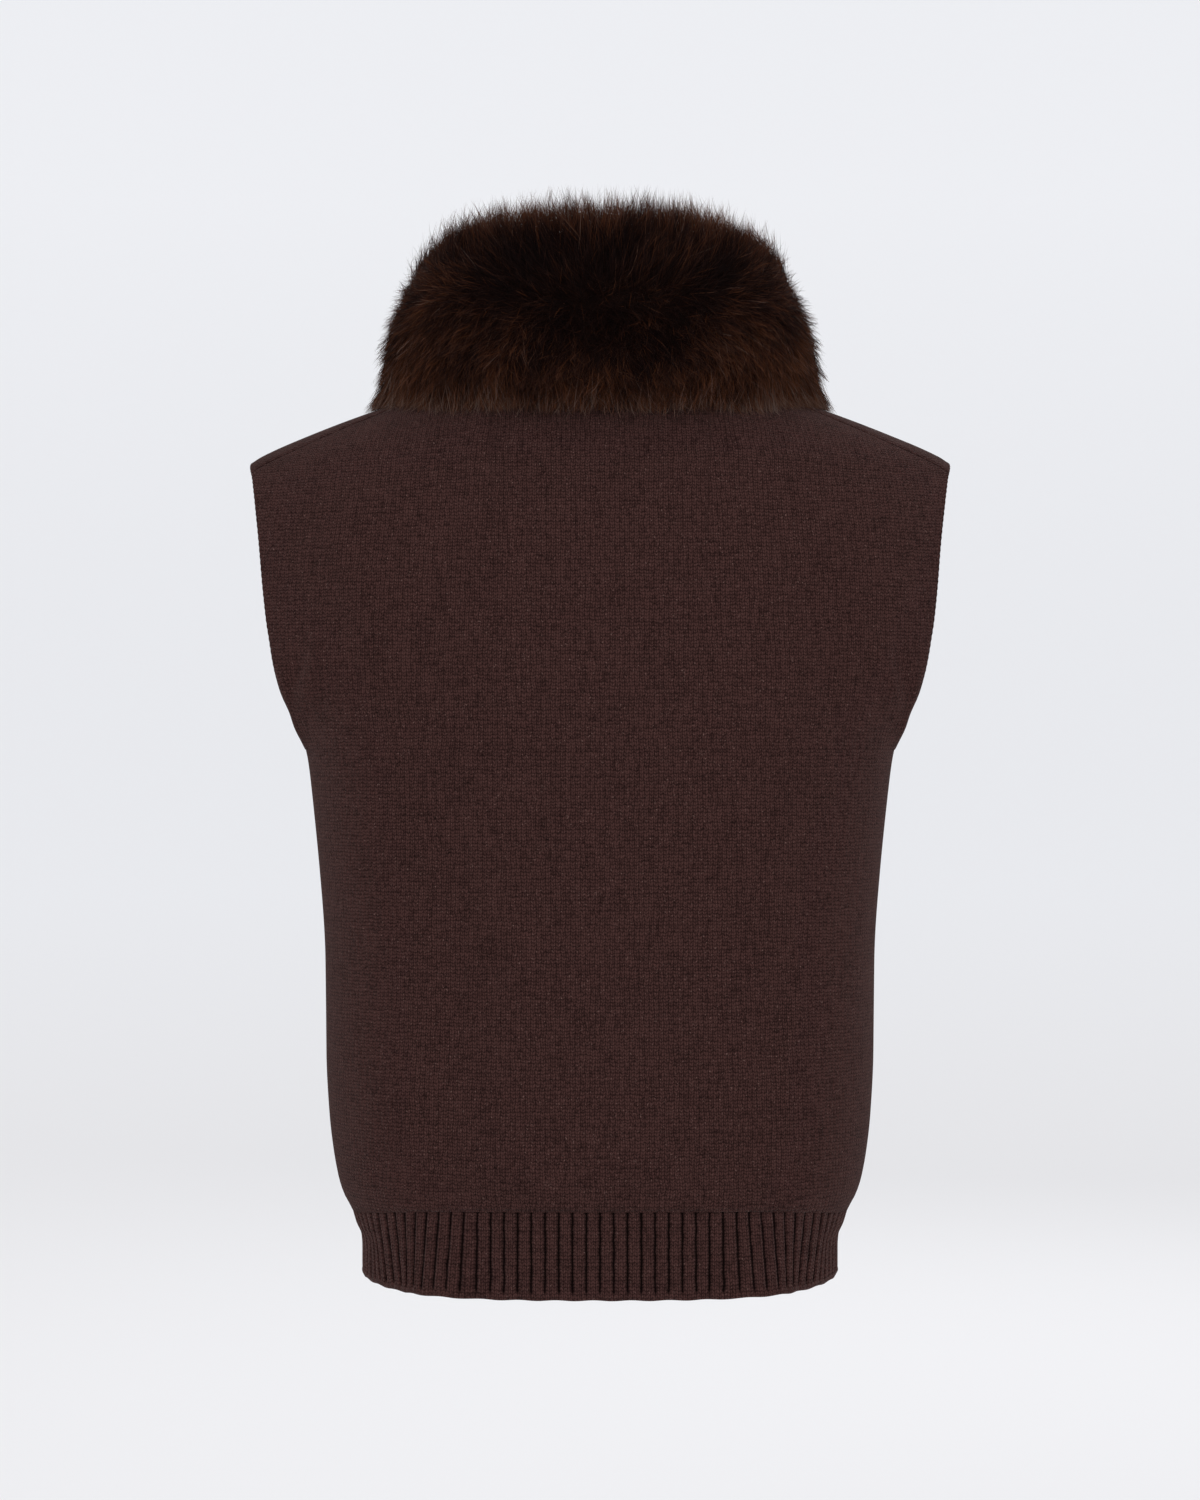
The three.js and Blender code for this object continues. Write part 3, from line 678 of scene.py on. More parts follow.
@dataclass(frozen=True)
class YarnFinish:
    """Stockinette of a dark heathered wool yarn, drawn stitch by stitch in mm."""

    name: str
    wale: float = 3.15
    course: float = 2.25
    rib: float = 0.0  # a rib's pitch, or 0 where there is none
    fluff: Colour = (0.150, 0.090, 0.078)
    light: Colour = (0.0600, 0.0272, 0.0240)
    # dark: the yarn's darkest colour, reached by painted shade in the stitch gaps and rib grooves
    dark: Colour = (0.0025, 0.0010, 0.0009)
    depth: float = 0.0009
    sway: float = 3.0
    slope: float = 0.42
    plain_edge: float = 3.6
    sheen: float = 0.11

    def material(self) -> bpy.types.Material:
        """Draw two slanting legs a stitch, with heathered yarn, uneven rows, and painted shade in the gaps
        between stitches and in the rib's grooves.

        Returns:
            The material.
        """
        paint = Paint(self.name)
        u, v = paint.place(Map.STITCH)
        u = u + (paint.grain(130, 2) - 0.5) * self.sway
        v = v + (paint.grain(170, 2) - 0.5) * self.sway
        across = u / self.wale
        s = abs(across.part() - 0.5) * 2
        leg = (1 - (s * 2 - 1) ** 2.0).limit()
        gap = (1 - s**3.0).limit()
        number = paint.join((u / self.wale * 2).whole(), (v / self.course).whole())
        speck = paint.node("ShaderNodeTexWhiteNoise", {"noise_dimensions": "2D"}, {"Vector": number})
        climb = v / self.course - s * self.slope + (speck - 0.5) * 0.16
        tread = (1 - abs(climb.part() * 2 - 1) ** 2.2).limit()
        # the stitch's relief also darkens the colour: painted shade in the gaps between legs and between
        # courses
        stitch = (leg**0.5 * 0.62 + 0.38) * (gap * 0.35 + 0.65) * (tread * 0.62 + 0.38)
        rows = paint.grain(1, 1, paint.join(u * 0.05, v * 0.44))
        lines = paint.grain(1, 1, paint.join(u * 0.31, v * 0.04))
        heather = paint.grain(1300, 3)
        mottle = paint.grain(45, 3)
        uneven = speck * 0.55 + heather * 1.7 + mottle * 0.25 + rows * 0.8 + lines * 0.6 - 1.95
        # tone: painted shade from the stitch relief, times the yarn's own heathered unevenness
        tone = stitch * (1.02 + uneven) + 0.02
        if self.rib:
            # painted shade in the rib's grooves, left off over the plain rolled edge at the hem
            from_rib = abs((u / self.rib).part() - 0.5) * 2
            painted_groove_shade = ((from_rib - 0.60) * 3.2).limit() ** 1.4 * 0.90
            tone = tone * (1 - painted_groove_shade * ((v * -1 - self.plain_edge) * 0.5).limit())
        colour = paint.mix(tone.limit(), self.dark, self.light)
        flecks = paint.grain(900, 1)
        colour = paint.mix(((flecks - 0.66) * 8).limit() * tone.limit(), colour, self.fluff)
        bump = paint.bump(stitch + heather * 0.4, 0.9, self.depth)
        fixed = {"Roughness": 0.95, "Specular IOR Level": 0.03, "Sheen Weight": self.sheen,
                 "Sheen Roughness": 0.22, "Sheen Tint": (0.85, 0.6, 0.56, 1)}  # fmt: skip
        return paint.finish(colour, fixed, {"Normal": bump})


@dataclass(frozen=True)
class FurFinish:
    """Long fur: near-black hair with warm brown underneath and a few greyish tips."""

    name: str = "fox_fur"
    black: Colour = (0.0034, 0.0014, 0.0012)
    deep: Colour = (0.0180, 0.0064, 0.0044)
    warm: Colour = (0.112, 0.0350, 0.0118)
    grey: Colour = (0.165, 0.110, 0.090)

    def material(self) -> bpy.types.Material:
        """Colour each hair by its place on the collar and along its length.

        Returns:
            The material.
        """
        paint = Paint(self.name)
        warmth, along = paint.place(Map.STRAND)
        stops = [(0.0, self.black), (0.30, self.deep), (0.72, self.warm), (1.0, self.grey)]
        tint = paint.node("ShaderNodeValToRGB", {"stops": stops}, {0: warmth})
        root = (1 - along * 1.15).limit()
        pale = ((along - 0.62) * 0.7).limit() * (warmth * 1.5 - 0.15).limit()
        colour = paint.mix(root * 0.95, paint.mix(pale, tint, self.grey), self.black)
        return paint.finish(colour, {"Roughness": 0.5, "Specular IOR Level": 0.03}, {})


@dataclass(frozen=True)
class UndercoatFinish:
    """Dense short underfur beneath the long hair."""

    name: str = "underfur"
    dark: Colour = (0.0035, 0.0016, 0.0012)
    brown: Colour = (0.012, 0.005, 0.0035)

    def material(self) -> bpy.types.Material:
        """Matt dark pile in small locks.

        Returns:
            The material.
        """
        paint = Paint(self.name)
        locks = paint.grain(160, 4)
        colour = paint.mix(locks, self.dark, self.brown)
        bump = paint.bump(locks, 0.7, 0.002)
        return paint.finish(colour, {"Roughness": 0.95, "Specular IOR Level": 0.03}, {"Normal": bump})


@dataclass(frozen=True)
class TapeFinish:
    """Woven zip tape."""

    name: str = "zip_tape"
    colour: Colour = (0.018, 0.010, 0.008)

    def material(self) -> bpy.types.Material:
        """Fine herringbone weave across the tape.

        Returns:
            The material.
        """
        paint = Paint(self.name)
        u, v = paint.place(Map.STITCH)
        weave = (abs((u * 0.35).part() - 0.5) * 3 + v * 1.1).part()
        lift = 1 - abs(weave * 2 - 1) ** 2.0
        colour = paint.mix(lift, tuple(c * 0.55 for c in self.colour), tuple(c * 1.5 for c in self.colour))
        bump = paint.bump(lift, 0.6, 0.0002)
        return paint.finish(colour, {"Roughness": 0.85, "Specular IOR Level": 0.25}, {"Normal": bump})


@dataclass(frozen=True)
class MetalFinish:
    """Dark antique metal, worn brighter in random patches."""

    name: str = "antique_metal"
    dark: Colour = (0.045, 0.036, 0.030)
    worn: Colour = (0.19, 0.165, 0.14)

    def material(self) -> bpy.types.Material:
        """Metal with fine scratches and patches of tarnish.

        Returns:
            The material.
        """
        paint = Paint(self.name)
        patch = paint.grain(900, 4)
        scratch = paint.grain(2600, 2)
        colour = paint.mix((patch * 1.6 - 0.3).limit(), self.dark, self.worn)
        bump = paint.bump(scratch, 0.25, 0.0001)
        return paint.finish(colour, {"Metallic": 1.0}, {"Roughness": patch * 0.3 + 0.25, "Normal": bump})


@dataclass(frozen=True)
class StudioFinish:
    """Pale seamless paper of the studio."""

    name: str = "studio_paper"
    colour: Colour = (0.40, 0.403, 0.415)
    light: Colour = (0.965, 0.975, 1.0)
    glow: float = 0.546
    floor_light: Colour = (0.830, 0.815, 0.812)
    fibre: Colour = (0.37, 0.373, 0.385)

    def material(self) -> bpy.types.Material:
        """Matt paper with a little light of its own, dimmed by painted shade in a soft band at mid height and
        on the floor.

        Returns:
            The material.
        """
        paint = Paint(self.name)
        colour = paint.mix(paint.grain(9, 2) * 0.04, self.colour, self.fibre)
        height = paint.node("ShaderNodeSeparateXYZ", {}, {0: paint.node("ShaderNodeTexCoord", {}, {}, 3)}, 2)
        # painted shade: the glow is dimmed by up to 7.5% in a soft band about mid height, and the floor glows
        # dimmer still
        painted_mid_shade = 1 - (abs(height + 0.15) * 0.8).limit() ** 2.0
        low = (height * -1.4 - 0.75).limit()
        glow = paint.mix(painted_mid_shade * 0.075, self.light, (0.0, 0.0, 0.0))
        glow = paint.mix(low, glow, self.floor_light)
        fixed = {"Roughness": 1.0, "Specular IOR Level": 0.0, "Emission Strength": self.glow}
        return paint.finish(colour, fixed, {"Emission Color": glow})


# ---------------------------------------------------------------------------------------------------
# Cloth
# ---------------------------------------------------------------------------------------------------


def report(piece: bpy.types.Object, slot: str, *nodes: str, body: str = BODY) -> None:
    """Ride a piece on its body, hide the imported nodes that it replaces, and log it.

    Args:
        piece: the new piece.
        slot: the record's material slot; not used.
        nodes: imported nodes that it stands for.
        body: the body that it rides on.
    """
    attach(piece, body)
    if nodes:
        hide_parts(*nodes)
    LOG.info("%s: %d faces on %s", piece.name, len(piece.data.polygons), body)


def walk_along(grid: Grid, axis: int) -> Grid:
    """Distance walked along the rows or columns of a grid of points.

    Args:
        grid: the points, with a last axis of three.
        axis: the axis that is walked along.

    Returns:
        The distance of each point from the first on its line.
    """
    steps = np.linalg.norm(np.diff(grid, axis=axis), axis=-1)
    lead = np.zeros_like(np.take(steps, [0], axis=axis))
    return np.concatenate([lead, np.cumsum(steps, axis=axis)], axis=axis)


@dataclass
class Panel:
    """One knitted body panel, from the hem band's seam over the shoulder."""

    name: str
    node: str
    side: Side
    hand: Hand | None
    folds: tuple[Fold, ...]
    cut: Pair
    neck_columns: int = 14
    shoulder_columns: int = 50
    low_rows: int = 68
    wing_rows: int = 24
    bend_rows: int = 30
    side_closeness: float = 1.25
    wing_closeness: float = 1.8
    bend_closeness: float = 0.9
    overlap: float = 0.3
    seam_fade: float = 26.0
    ripple: float = 0.25
    seam_groove: float = 0.8
    smoothings: int = 120
    edge: dict[str, Grid] = field(default_factory=dict)

    def columns(self) -> Grid:
        """Columns of points, close together round the neck.

        Returns:
            The columns, from the wearer's left to the right.
        """
        neck = FORM.neck_f * np.sin(np.pi / 2 * np.arange(self.neck_columns) / self.neck_columns)
        start = math.asin(FORM.neck_f)
        share = 1 - (1 - np.linspace(0, 1, self.shoulder_columns + 1)) ** self.side_closeness
        half = np.concatenate([neck, np.sin(blend(start, math.pi / 2, share))])
        if self.hand is None:
            return np.concatenate([half[:0:-1], -half])
        zip_edge = FORM.zip_gap / FORM.tip_x
        half = np.concatenate([[zip_edge], half[half > zip_edge * 1.2]])
        return half if self.hand is Hand.LEFT else -half[::-1]

    def base(self) -> tuple[Grid, Grid, Grid]:
        """Points of the smooth outer face, their normals and their columns.

        Returns:
            Points and normals, rows by columns by three, and columns in the same rows and columns.
        """
        f = self.columns()
        low = FORM.seam(f) - FORM.seam_gap / 2
        share = np.linspace(0, 1, self.low_rows)[:, None]
        lower = blend(low, FORM.underarm, share)
        steps = (np.arange(1, self.wing_rows + 1) / (self.wing_rows + 1)) ** self.wing_closeness
        upper = blend(FORM.underarm, FORM.bend, steps)[:, None]
        z = np.concatenate([lower, np.broadcast_to(upper, (self.wing_rows, len(f)))])
        across = np.broadcast_to(f, z.shape).copy()
        if self.side is Side.FRONT:
            first, own = FORM.zip_gap / FORM.tip_x, FORM.zip_gap / FORM.half(z)
            across = self.hand.value * (own + (np.abs(across) - first) * (1 - own) / (1 - first))
        back = self.side is Side.BACK
        bent = across[-1]
        gap = FORM.seam_gap / 2 / (0.6 * FORM.reach(f, FORM.bend, Side.BACK) + 20)
        end = FORM.top_turn(bent, self.side) + (gap if back else -gap)
        start = math.pi if back else 0.0
        turn = blend(start, end, np.linspace(0, 1, self.bend_rows)[:, None] ** self.bend_closeness)
        bends = np.broadcast_to(bent, turn.shape)
        step = 1e-3

        def at(df: float, up: float) -> Grid:
            """The face a small step away across and up, in columns and turns."""
            wall = FORM.wall(np.clip(across + df, -1, 1), z + 40 * up, self.side)
            return np.concatenate([wall, FORM.arch(np.clip(bends + df, -1, 1), turn + up)])

        points = at(0, 0)
        normals = unit(np.cross(at(step, 0) - at(-step, 0), at(0, step) - at(0, -step)))
        towards = points * [1, 1, 0] + [0, 0, 60]
        normals *= np.where((normals * towards).sum(-1, keepdims=True) < 0, -1, 1)
        f_all = np.concatenate([across, bends])
        below = points[..., 2] <= FORM.underarm + HAIRLINE
        seam = (np.abs(f_all) > 0.9999) & below
        normals[seam] = np.stack([np.sign(f_all[seam]), 0 * f_all[seam], 0 * f_all[seam]], -1)
        points[..., 1] += np.where(below, self.overlap * (-1 if back else 1), 0)
        return points, normals, f_all

    def lift(self, x: Grid, z: Grid, f: Grid) -> Grid:
        """How far the folds, ripples and side seam move the cloth from its smooth form.

        Args:
            x: places across.
            z: heights.
            f: columns.

        Returns:
            The lift at each place, in mm.
        """
        above, across = z - FORM.seam(f), np.abs(f)
        folds = sum(fold.height(x, z) for fold in self.folds)
        edge = 1 - smooth(0.95, 1.0, across) * smooth(FORM.underarm - 10, FORM.underarm + 4, z) * 0.5
        beside = 1 - smooth(0.9, 0.99, across) * (z < FORM.underarm)
        lift = folds * smooth(0, self.seam_fade, above) * edge * beside
        waves = np.sin(x / 19 + z / 41) * np.sin(z / 27 - x / 53)
        lift += self.ripple * waves * smooth(0, 20, above)
        lift -= self.seam_groove * (across > 0.99999) * smooth(2, 30, FORM.underarm - z)
        return lift

    def build(self, yarn: bpy.types.Material) -> bpy.types.Object:
        """Fold the panel, give it its wall and dress it.

        Args:
            yarn: the knit's material.

        Returns:
            The panel.
        """
        points, normals, f = self.base()
        x, z = points[..., 0], points[..., 2]
        outer = points + normals * self.lift(x, z, f)[..., None]
        inner = outer - normals * FORM.knit
        u = walk_along(points, 1)
        if self.side is Side.BACK:
            u = u - u[:, [u.shape[1] // 2]]
        elif self.hand is Hand.RIGHT:
            u = u - u[:, [-1]]
        for _ in range(self.smoothings):
            u[1:-1] = (u[:-2] + 2 * u[1:-1] + u[2:]) / 4
        walls = self.low_rows + self.wing_rows
        v = np.concatenate([z[:walls], z[walls - 1] + walk_along(points[walls - 1 :], 0)[1:]])
        piece = Mesh.shell(self.name, outer, inner, np.stack([u, v], -1))
        piece.data.materials.append(yarn)
        mid = (outer + inner) / 2
        self.edge = {
            "left": mid[:, 0 if self.side is Side.BACK else -1],
            "right": mid[:, -1 if self.side is Side.BACK else 0],
            "top": (outer - normals * 0.3)[-1],
            "columns": f[-1],
        }
        report(piece, "knit", self.node)
        return piece


@dataclass
class HemBand:
    """One length of the ribbed hem band, with three wales to a rib and a rolled bottom edge."""

    name: str
    node: str
    side: Side
    hand: Hand | None
    ribs: int
    cut: Pair
    rise: float = 1.7
    fine: int = 8
    rows: int = 24
    pitch: float = 8.2
    overlap: float = 0.3
    top_overlap: float = 0.6
    inner_reach: float = 1.6
    roll: float = 0.6
    hem_wave: float = 0.3
    plain_share: float = 0.80
    shrinkage: float = 0.98
    lean: Table = Table(
        (0, 0), (74, 0.2), (92, 4.2), (110, 4.6), (124, 0), (135, -5.0), (150, -6.4), (166, -6.8)
    )  # fmt: skip

    def columns(self, count: Grid) -> Grid:
        """Turn rib counts into columns of the form.

        Args:
            count: ribs from the band's first edge.

        Returns:
            The columns.
        """
        angle = np.linspace(0, math.pi, 2000)
        line = FORM.wall(np.cos(angle), np.full(len(angle), FORM.hem_side), self.side)
        walk = walk_along(line, 0)
        whole = self.ribs if self.hand is None else 2 * self.ribs + 1
        first = whole - self.ribs if self.hand is Hand.RIGHT else 0
        own = walk[-1] * (first + count) / whole
        f = np.interp(own, walk, np.cos(angle))
        if self.side is Side.FRONT:
            edge = FORM.zip_gap / float(FORM.half(FORM.hem_side))
            f = np.maximum(f, edge) if self.hand is Hand.LEFT else np.minimum(f, -edge)
        return f

    def lift(self, count: Grid, v: Grid) -> Grid:
        """How far the ribs, the plain edge and its roll stand from the band's crest.

        Args:
            count: ribs from the band's first edge, at each column.
            v: from 0 at the band's seam to 1 at the hem, at each row.

        Returns:
            The lift, rows by columns, in mm.
        """
        phase = count % 1.0
        from_groove = np.minimum(phase, 1 - phase)
        middle_wale = 1 - 0.16 * np.exp(-(((phase - 0.5) / 0.06) ** 2))
        rib = smooth(0.02, 0.22, from_groove) * middle_wale
        begins = smooth(0, 0.06, v) * 0.2 + 0.8
        rib = blend(rib * begins, self.plain_share, smooth(0.90, 0.95, v))
        roll = 1.1 * np.exp(-(((v - 0.965) / 0.022) ** 2)) - 0.9 * smooth(0.985, 1, v)
        return (rib - 1) * self.rise + roll * self.roll

    def build(self, yarn: bpy.types.Material) -> bpy.types.Object:
        """Raise the ribs, fan them near the sides and roll the edge.

        Args:
            yarn: the rib's material.

        Returns:
            The band.
        """
        count = np.arange(self.ribs * self.fine + 1) / self.fine
        f = self.columns(count)
        v = np.linspace(0, 1, self.rows)[:, None]
        top, bottom = FORM.seam(f) + self.top_overlap, FORM.hem(f)
        z = blend(top, bottom, v)
        start = np.abs(f) * FORM.half(top)
        straight = np.sign(f) * (start + self.lean.read(start) * v) / FORM.half(z)
        across = blend(straight, f, smooth(0.86, 0.96, np.abs(f)))
        if self.side is Side.FRONT:
            beside = np.abs(f) * FORM.half(FORM.hem_side) <= FORM.zip_gap * 1.001
            across = np.where(beside, self.hand.value * FORM.zip_gap / FORM.half(z), across)
        base = FORM.wall(across, z, self.side)
        over = self.overlap * (-1 if self.side is Side.BACK else 1)
        base[..., 1] = np.where(np.abs(across) > 0.9999, 0, base[..., 1]) + over
        ahead = np.gradient(FORM.wall(across, z, self.side), axis=1) * [1, 1, 0]
        normals = unit(np.stack([ahead[..., 1], -ahead[..., 0], 0 * z], -1))
        normals *= np.where((normals * base * [1, 1, 0]).sum(-1, keepdims=True) < 0, -1, 1)
        side_on = np.abs(across) > 0.9999
        normals[side_on] = np.stack([np.sign(across[side_on]), 0 * z[side_on], 0 * z[side_on]], -1)
        uneven = self.hem_wave * np.sin(count * 2.3 + 1.1) * smooth(0.6, 1, v)
        outer = base + normals * self.lift(count, v)[..., None]
        outer[..., 2] += uneven
        inner = base - normals * (self.inner_reach + FORM.band_wall)
        inner[..., 2] += uneven
        stitch = np.stack([np.broadcast_to(count * self.pitch, z.shape), bottom - z], -1)
        piece = Mesh.shell(self.name, outer, inner, stitch)
        piece.data.materials.append(yarn)
        report(piece, "rib", self.node)
        return piece


@dataclass(frozen=True)
class Edging:
    """Knitted edges: the selvedge round each armhole and the linked shoulder seams."""

    closest: float = 0.4
    bead: float = 1.6
    bead_step: float = 1.05
    bead_wave: float = 4.2
    inset: float = 1.0
    smoothings: int = 4
    ends: float = 14.0
    thin_end: float = 0.45
    ridge: float = 0.95
    ridge_step: float = 0.6
    ridge_wave: float = 2.7

    @staticmethod
    def pace(path: Grid, step: float) -> tuple[Grid, Grid]:
        """Set out even steps along a path.

        Args:
            path: its points.
            step: how far apart the new points lie.

        Returns:
            The new points and the walk to each.
        """
        walk = walk_along(path, 0)
        at = np.arange(0, walk[-1], step)
        return np.stack([np.interp(at, walk, path[:, k]) for k in range(3)], -1), at

    def armhole(self, hand: Hand, back: Panel, front: Panel, yarn: bpy.types.Material) -> None:
        """Bind one armhole with a beaded selvedge.

        Args:
            hand: which armhole.
            back: the built back panel.
            front: the built front panel of that hand.
            yarn: the knit's material.
        """
        key = "left" if hand is Hand.LEFT else "right"
        loops = []
        for panel in (front, back):
            line = panel.edge[key]
            loops.append(line[line[:, 2] > FORM.underarm - 1])
        path = np.concatenate([loops[0], loops[1][::-1]])
        keep = np.concatenate([[True], np.linalg.norm(np.diff(path, axis=0), axis=1) > self.closest])
        path, at = self.pace(path[keep], self.bead_step)
        for _ in range(self.smoothings):
            path[1:-1] = (path[:-2] + path[1:-1] + path[2:]) / 3
        from_end = np.minimum(at, at[-1] - at)
        path[:, 0] -= hand.value * self.inset * (1 - smooth(0, 12, from_end))
        beads = 1 + 0.08 * np.sin(at / self.bead_wave * 2 * math.pi)
        radius = self.bead * beads * (self.thin_end + (1 - self.thin_end) * smooth(0, self.ends, from_end))
        piece = Mesh.tube(f"armhole_edge_{key}", path, radius, 10)
        piece.data.materials.append(yarn)
        report(piece, "knit")

    def shoulder(self, hand: Hand, back: Panel, yarn: bpy.types.Material) -> None:
        """Lay one linked ridge along a shoulder seam.

        Args:
            hand: which shoulder.
            back: the built back panel.
            yarn: the knit's material.
        """
        key = "left" if hand is Hand.LEFT else "right"
        f, top = back.edge["columns"], back.edge["top"]
        own = (f * hand.value) > FORM.neck_f * 1.02
        path, at = self.pace(top[own], self.ridge_step)
        radius = self.ridge * (1 + 0.16 * np.sin(at / self.ridge_wave * 2 * math.pi))
        piece = Mesh.tube(f"shoulder_seam_{key}", path, radius, 8)
        piece.data.materials.append(yarn)
        report(piece, "knit")


# ---------------------------------------------------------------------------------------------------
# Fur collar
# ---------------------------------------------------------------------------------------------------


@dataclass(frozen=True)
class Hair:
    """One kind of hair. Lengths in mm; pairs are for hair low and high on the collar."""

    name: str
    locks: int
    each: int  # hairs in a lock
    short: Pair  # how far the tips stay beneath the fur's outside
    spread: float  # how far apart the tips of a lock lie
    stray_power: float  # the higher, the fewer hairs stand out of the high fur
    thin: Pair  # half widths, from and to
    places: tuple[float, ...]  # shares of the length at which it has points
    taper: tuple[float, ...]  # its width at each of them but the tip


GUARD = Hair("guard", 6600, 9, (3.6, 8.4), 1.4, 2.3, (0.10, 0.18), (0.0, 0.42, 0.74, 1.0), (1.0, 1.0, 0.7))
FINE = Hair("fine", 100000, 1, (5.2, 10.4), 3.0, 3.4, (0.08, 0.14), (0.0, 0.58, 1.0), (1.0, 0.85))


@dataclass
class FurCollar:
    """The fur collar: an undercoat, fine hair, and guard hair in combed locks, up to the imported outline."""

    kinds: tuple[Hair, ...] = (GUARD, FINE)
    pieces: int = 2  # of each kind of hair
    uneven: float = 2.0  # how much the locks' lengths differ
    bow: Pair = (0.6, 1.1)  # how far a hair bows out at its middle: mean and spread
    waver: float = 0.45  # how far it strays from a smooth bend
    twist: float = 0.7  # how much the hairs' flat sides differ in facing
    mottle: float = 0.13  # how much the hairs differ in warmth
    paler: float = 0.42  # how much warmer a pale hair is
    pale_share: float = 0.012  # the share of pale hairs
    pale_foot: float = 0.5  # the share of them among the strays at the foot
    tuft: float = 6.0  # how much longer a tuft is
    tufts: float = 0.1  # share of the locks that are tufts
    core: float = 0.68  # the undercoat's size beside the outline's
    lean: float = 16.0
    parting: float = 98.0
    root_spread: float = 5.2
    loose_share: float = 0.3
    loose_spread: float = 3.2
    stray: Pair = (5.5, 11.5)
    most_proud: float = 5.0
    foot_stray: float = 6.5
    foot_strays: float = 0.30
    seed: int = 11
    turn_end: float = 177.4
    sizes: Table = Table(
        (0, 59, 74, 112, 48, 102, 116, 80, 149, 54, 136),
        (30, 60, 84.5, 122, 46, 114, 113, 90, 147.5, 57, 134),
        (60, 66, 121, 140, 42, 131, 105, 106, 139, 63, 127),
        (90, 72, 150, 149, 34, 132, 90, 104, 125, 67, 115),
        (120, 79, 128, 144, 24, 132, 76, 104, 112, 71, 102),
        (150, 89, 104, 129, 12, 122, 60, 101, 97, 74, 87),
        (177.4, 91.5, 94, 119, 8, 115, 52, 98, 87, 75, 77),
    )  # turn, then neck, foot, belly and its height, brow and height, top and height, lip and height

    def envelope(self, turn: Grid, along: Grid) -> Grid:
        """Points of the outside of the fur.

        Args:
            turn: degrees round the neck from the middle of the back.
            along: from 0 at the neck's edge, out under the collar to the foot at 3, up the outside to
                the top at 10, and down the inside to 15, which is 0 again.

        Returns:
            Points, with a last axis of three.
        """
        size = [self.sizes.read(np.abs(turn), k) for k in range(10)]
        neck, foot, belly, belly_z, brow, brow_z, top, top_z, lip, lip_z = size
        angle = np.radians(turn)

        def on_cloth(share: float) -> tuple[Grid, Grid]:
            """Reach and height just above the cloth."""
            out = blend(neck, foot, share)
            return out, FORM.cloth_z(out * np.sin(angle), out * np.cos(angle)) + 1.6

        under = [on_cloth(share) for share in (0, 0.33, 0.68, 1)]
        foot_z, neck_z = under[3][1], under[0][1]
        outline = under + [
            (blend(foot, belly, 0.62), blend(foot_z, belly_z, 0.2) + 1.5),
            (blend(foot, belly, 0.92), blend(foot_z, belly_z, 0.55)),
            (belly, belly_z),
            (blend(belly, brow, 0.42) + 1.5, blend(belly_z, brow_z, 0.55)),
            (brow, brow_z),
            (blend(brow, top, 0.36), blend(brow_z, top_z, 0.72)),
            (top, top_z),
            (blend(top, lip, 0.6), top_z - 2.5),
            (lip, lip_z),
            (blend(lip, neck, 0.3) - 1.5, blend(lip_z, neck_z, 0.35)),
            (blend(lip, neck, 0.68) - 1.5, blend(lip_z, neck_z, 0.7)),
        ]
        reach = np.stack([np.broadcast_to(p[0], np.shape(turn)) for p in outline])
        height = np.stack([np.broadcast_to(p[1], np.shape(turn)) for p in outline])
        count = len(outline)
        i = np.floor(along).astype(int)
        t = along - i
        out, z = (self.through(values, i, t, count) for values in (reach, height))
        return np.stack([out * np.sin(angle), out * np.cos(angle), z], -1)

    @staticmethod
    def through(values: Grid, i: Grid, t: Grid, count: int) -> Grid:
        """A smooth closed curve through values.

        Args:
            values: what it goes through, along the first axis.
            i: number of the value before each place.
            t: share of the way to the next value.
            count: how many values there are.

        Returns:
            The curve at each place.
        """
        a, b, c, d = (np.take_along_axis(values, ((i + k) % count)[None], 0)[0] for k in (-1, 0, 1, 2))
        square, cube = 2 * a - 5 * b + 4 * c - d, 3 * b - a - 3 * c + d
        return 0.5 * (2 * b + (c - a) * t + square * t**2 + cube * t**3)

    def normal(self, turn: Grid, along: Grid) -> Grid:
        """Unit normals of the outside, pointing out.

        Args:
            turn: degrees round the neck.
            along: places round the section.

        Returns:
            The normals, with a last axis of three.
        """
        d_turn = self.envelope(turn + 0.5, along) - self.envelope(turn - 0.5, along)
        d_along = self.envelope(turn, along + 0.04) - self.envelope(turn, along - 0.04)
        normal = unit(np.cross(d_turn, d_along))
        angle = np.radians(turn)
        middle = np.stack([100 * np.sin(angle), 100 * np.cos(angle), 0 * turn + 60], -1)
        out = self.envelope(turn, along) - middle
        return normal * np.where((normal * out).sum(-1, keepdims=True) < 0, -1, 1)

    def skin(self, turn: Grid, along: Grid, share: float) -> Grid:
        """Points of a smaller collar inside the outside, about the core of its sections.

        Args:
            turn: degrees round the neck.
            along: places round the section.
            share: its size beside the outside's.

        Returns:
            Points, with a last axis of three.
        """
        neck, foot, belly, _, brow, _, _, top_z = (self.sizes.read(np.abs(turn), k) for k in range(8))
        angle = np.radians(turn)
        out = (neck + foot + belly + brow) / 4
        core = np.stack([out * np.sin(angle), out * np.cos(angle), 0 * out], -1)
        ground = FORM.cloth_z(core[..., 0], core[..., 1])
        core[..., 2] = blend(ground, top_z, 0.42)
        point = core + (self.envelope(turn, along) - core) * [share, share, share * 1.04]
        point[..., 2] -= 4 * (1 - smooth(20, 90, point[..., 2]))
        floor = FORM.cloth_z(point[..., 0], point[..., 1]) + 1.0
        point[..., 2] = np.maximum(point[..., 2], floor)
        return point

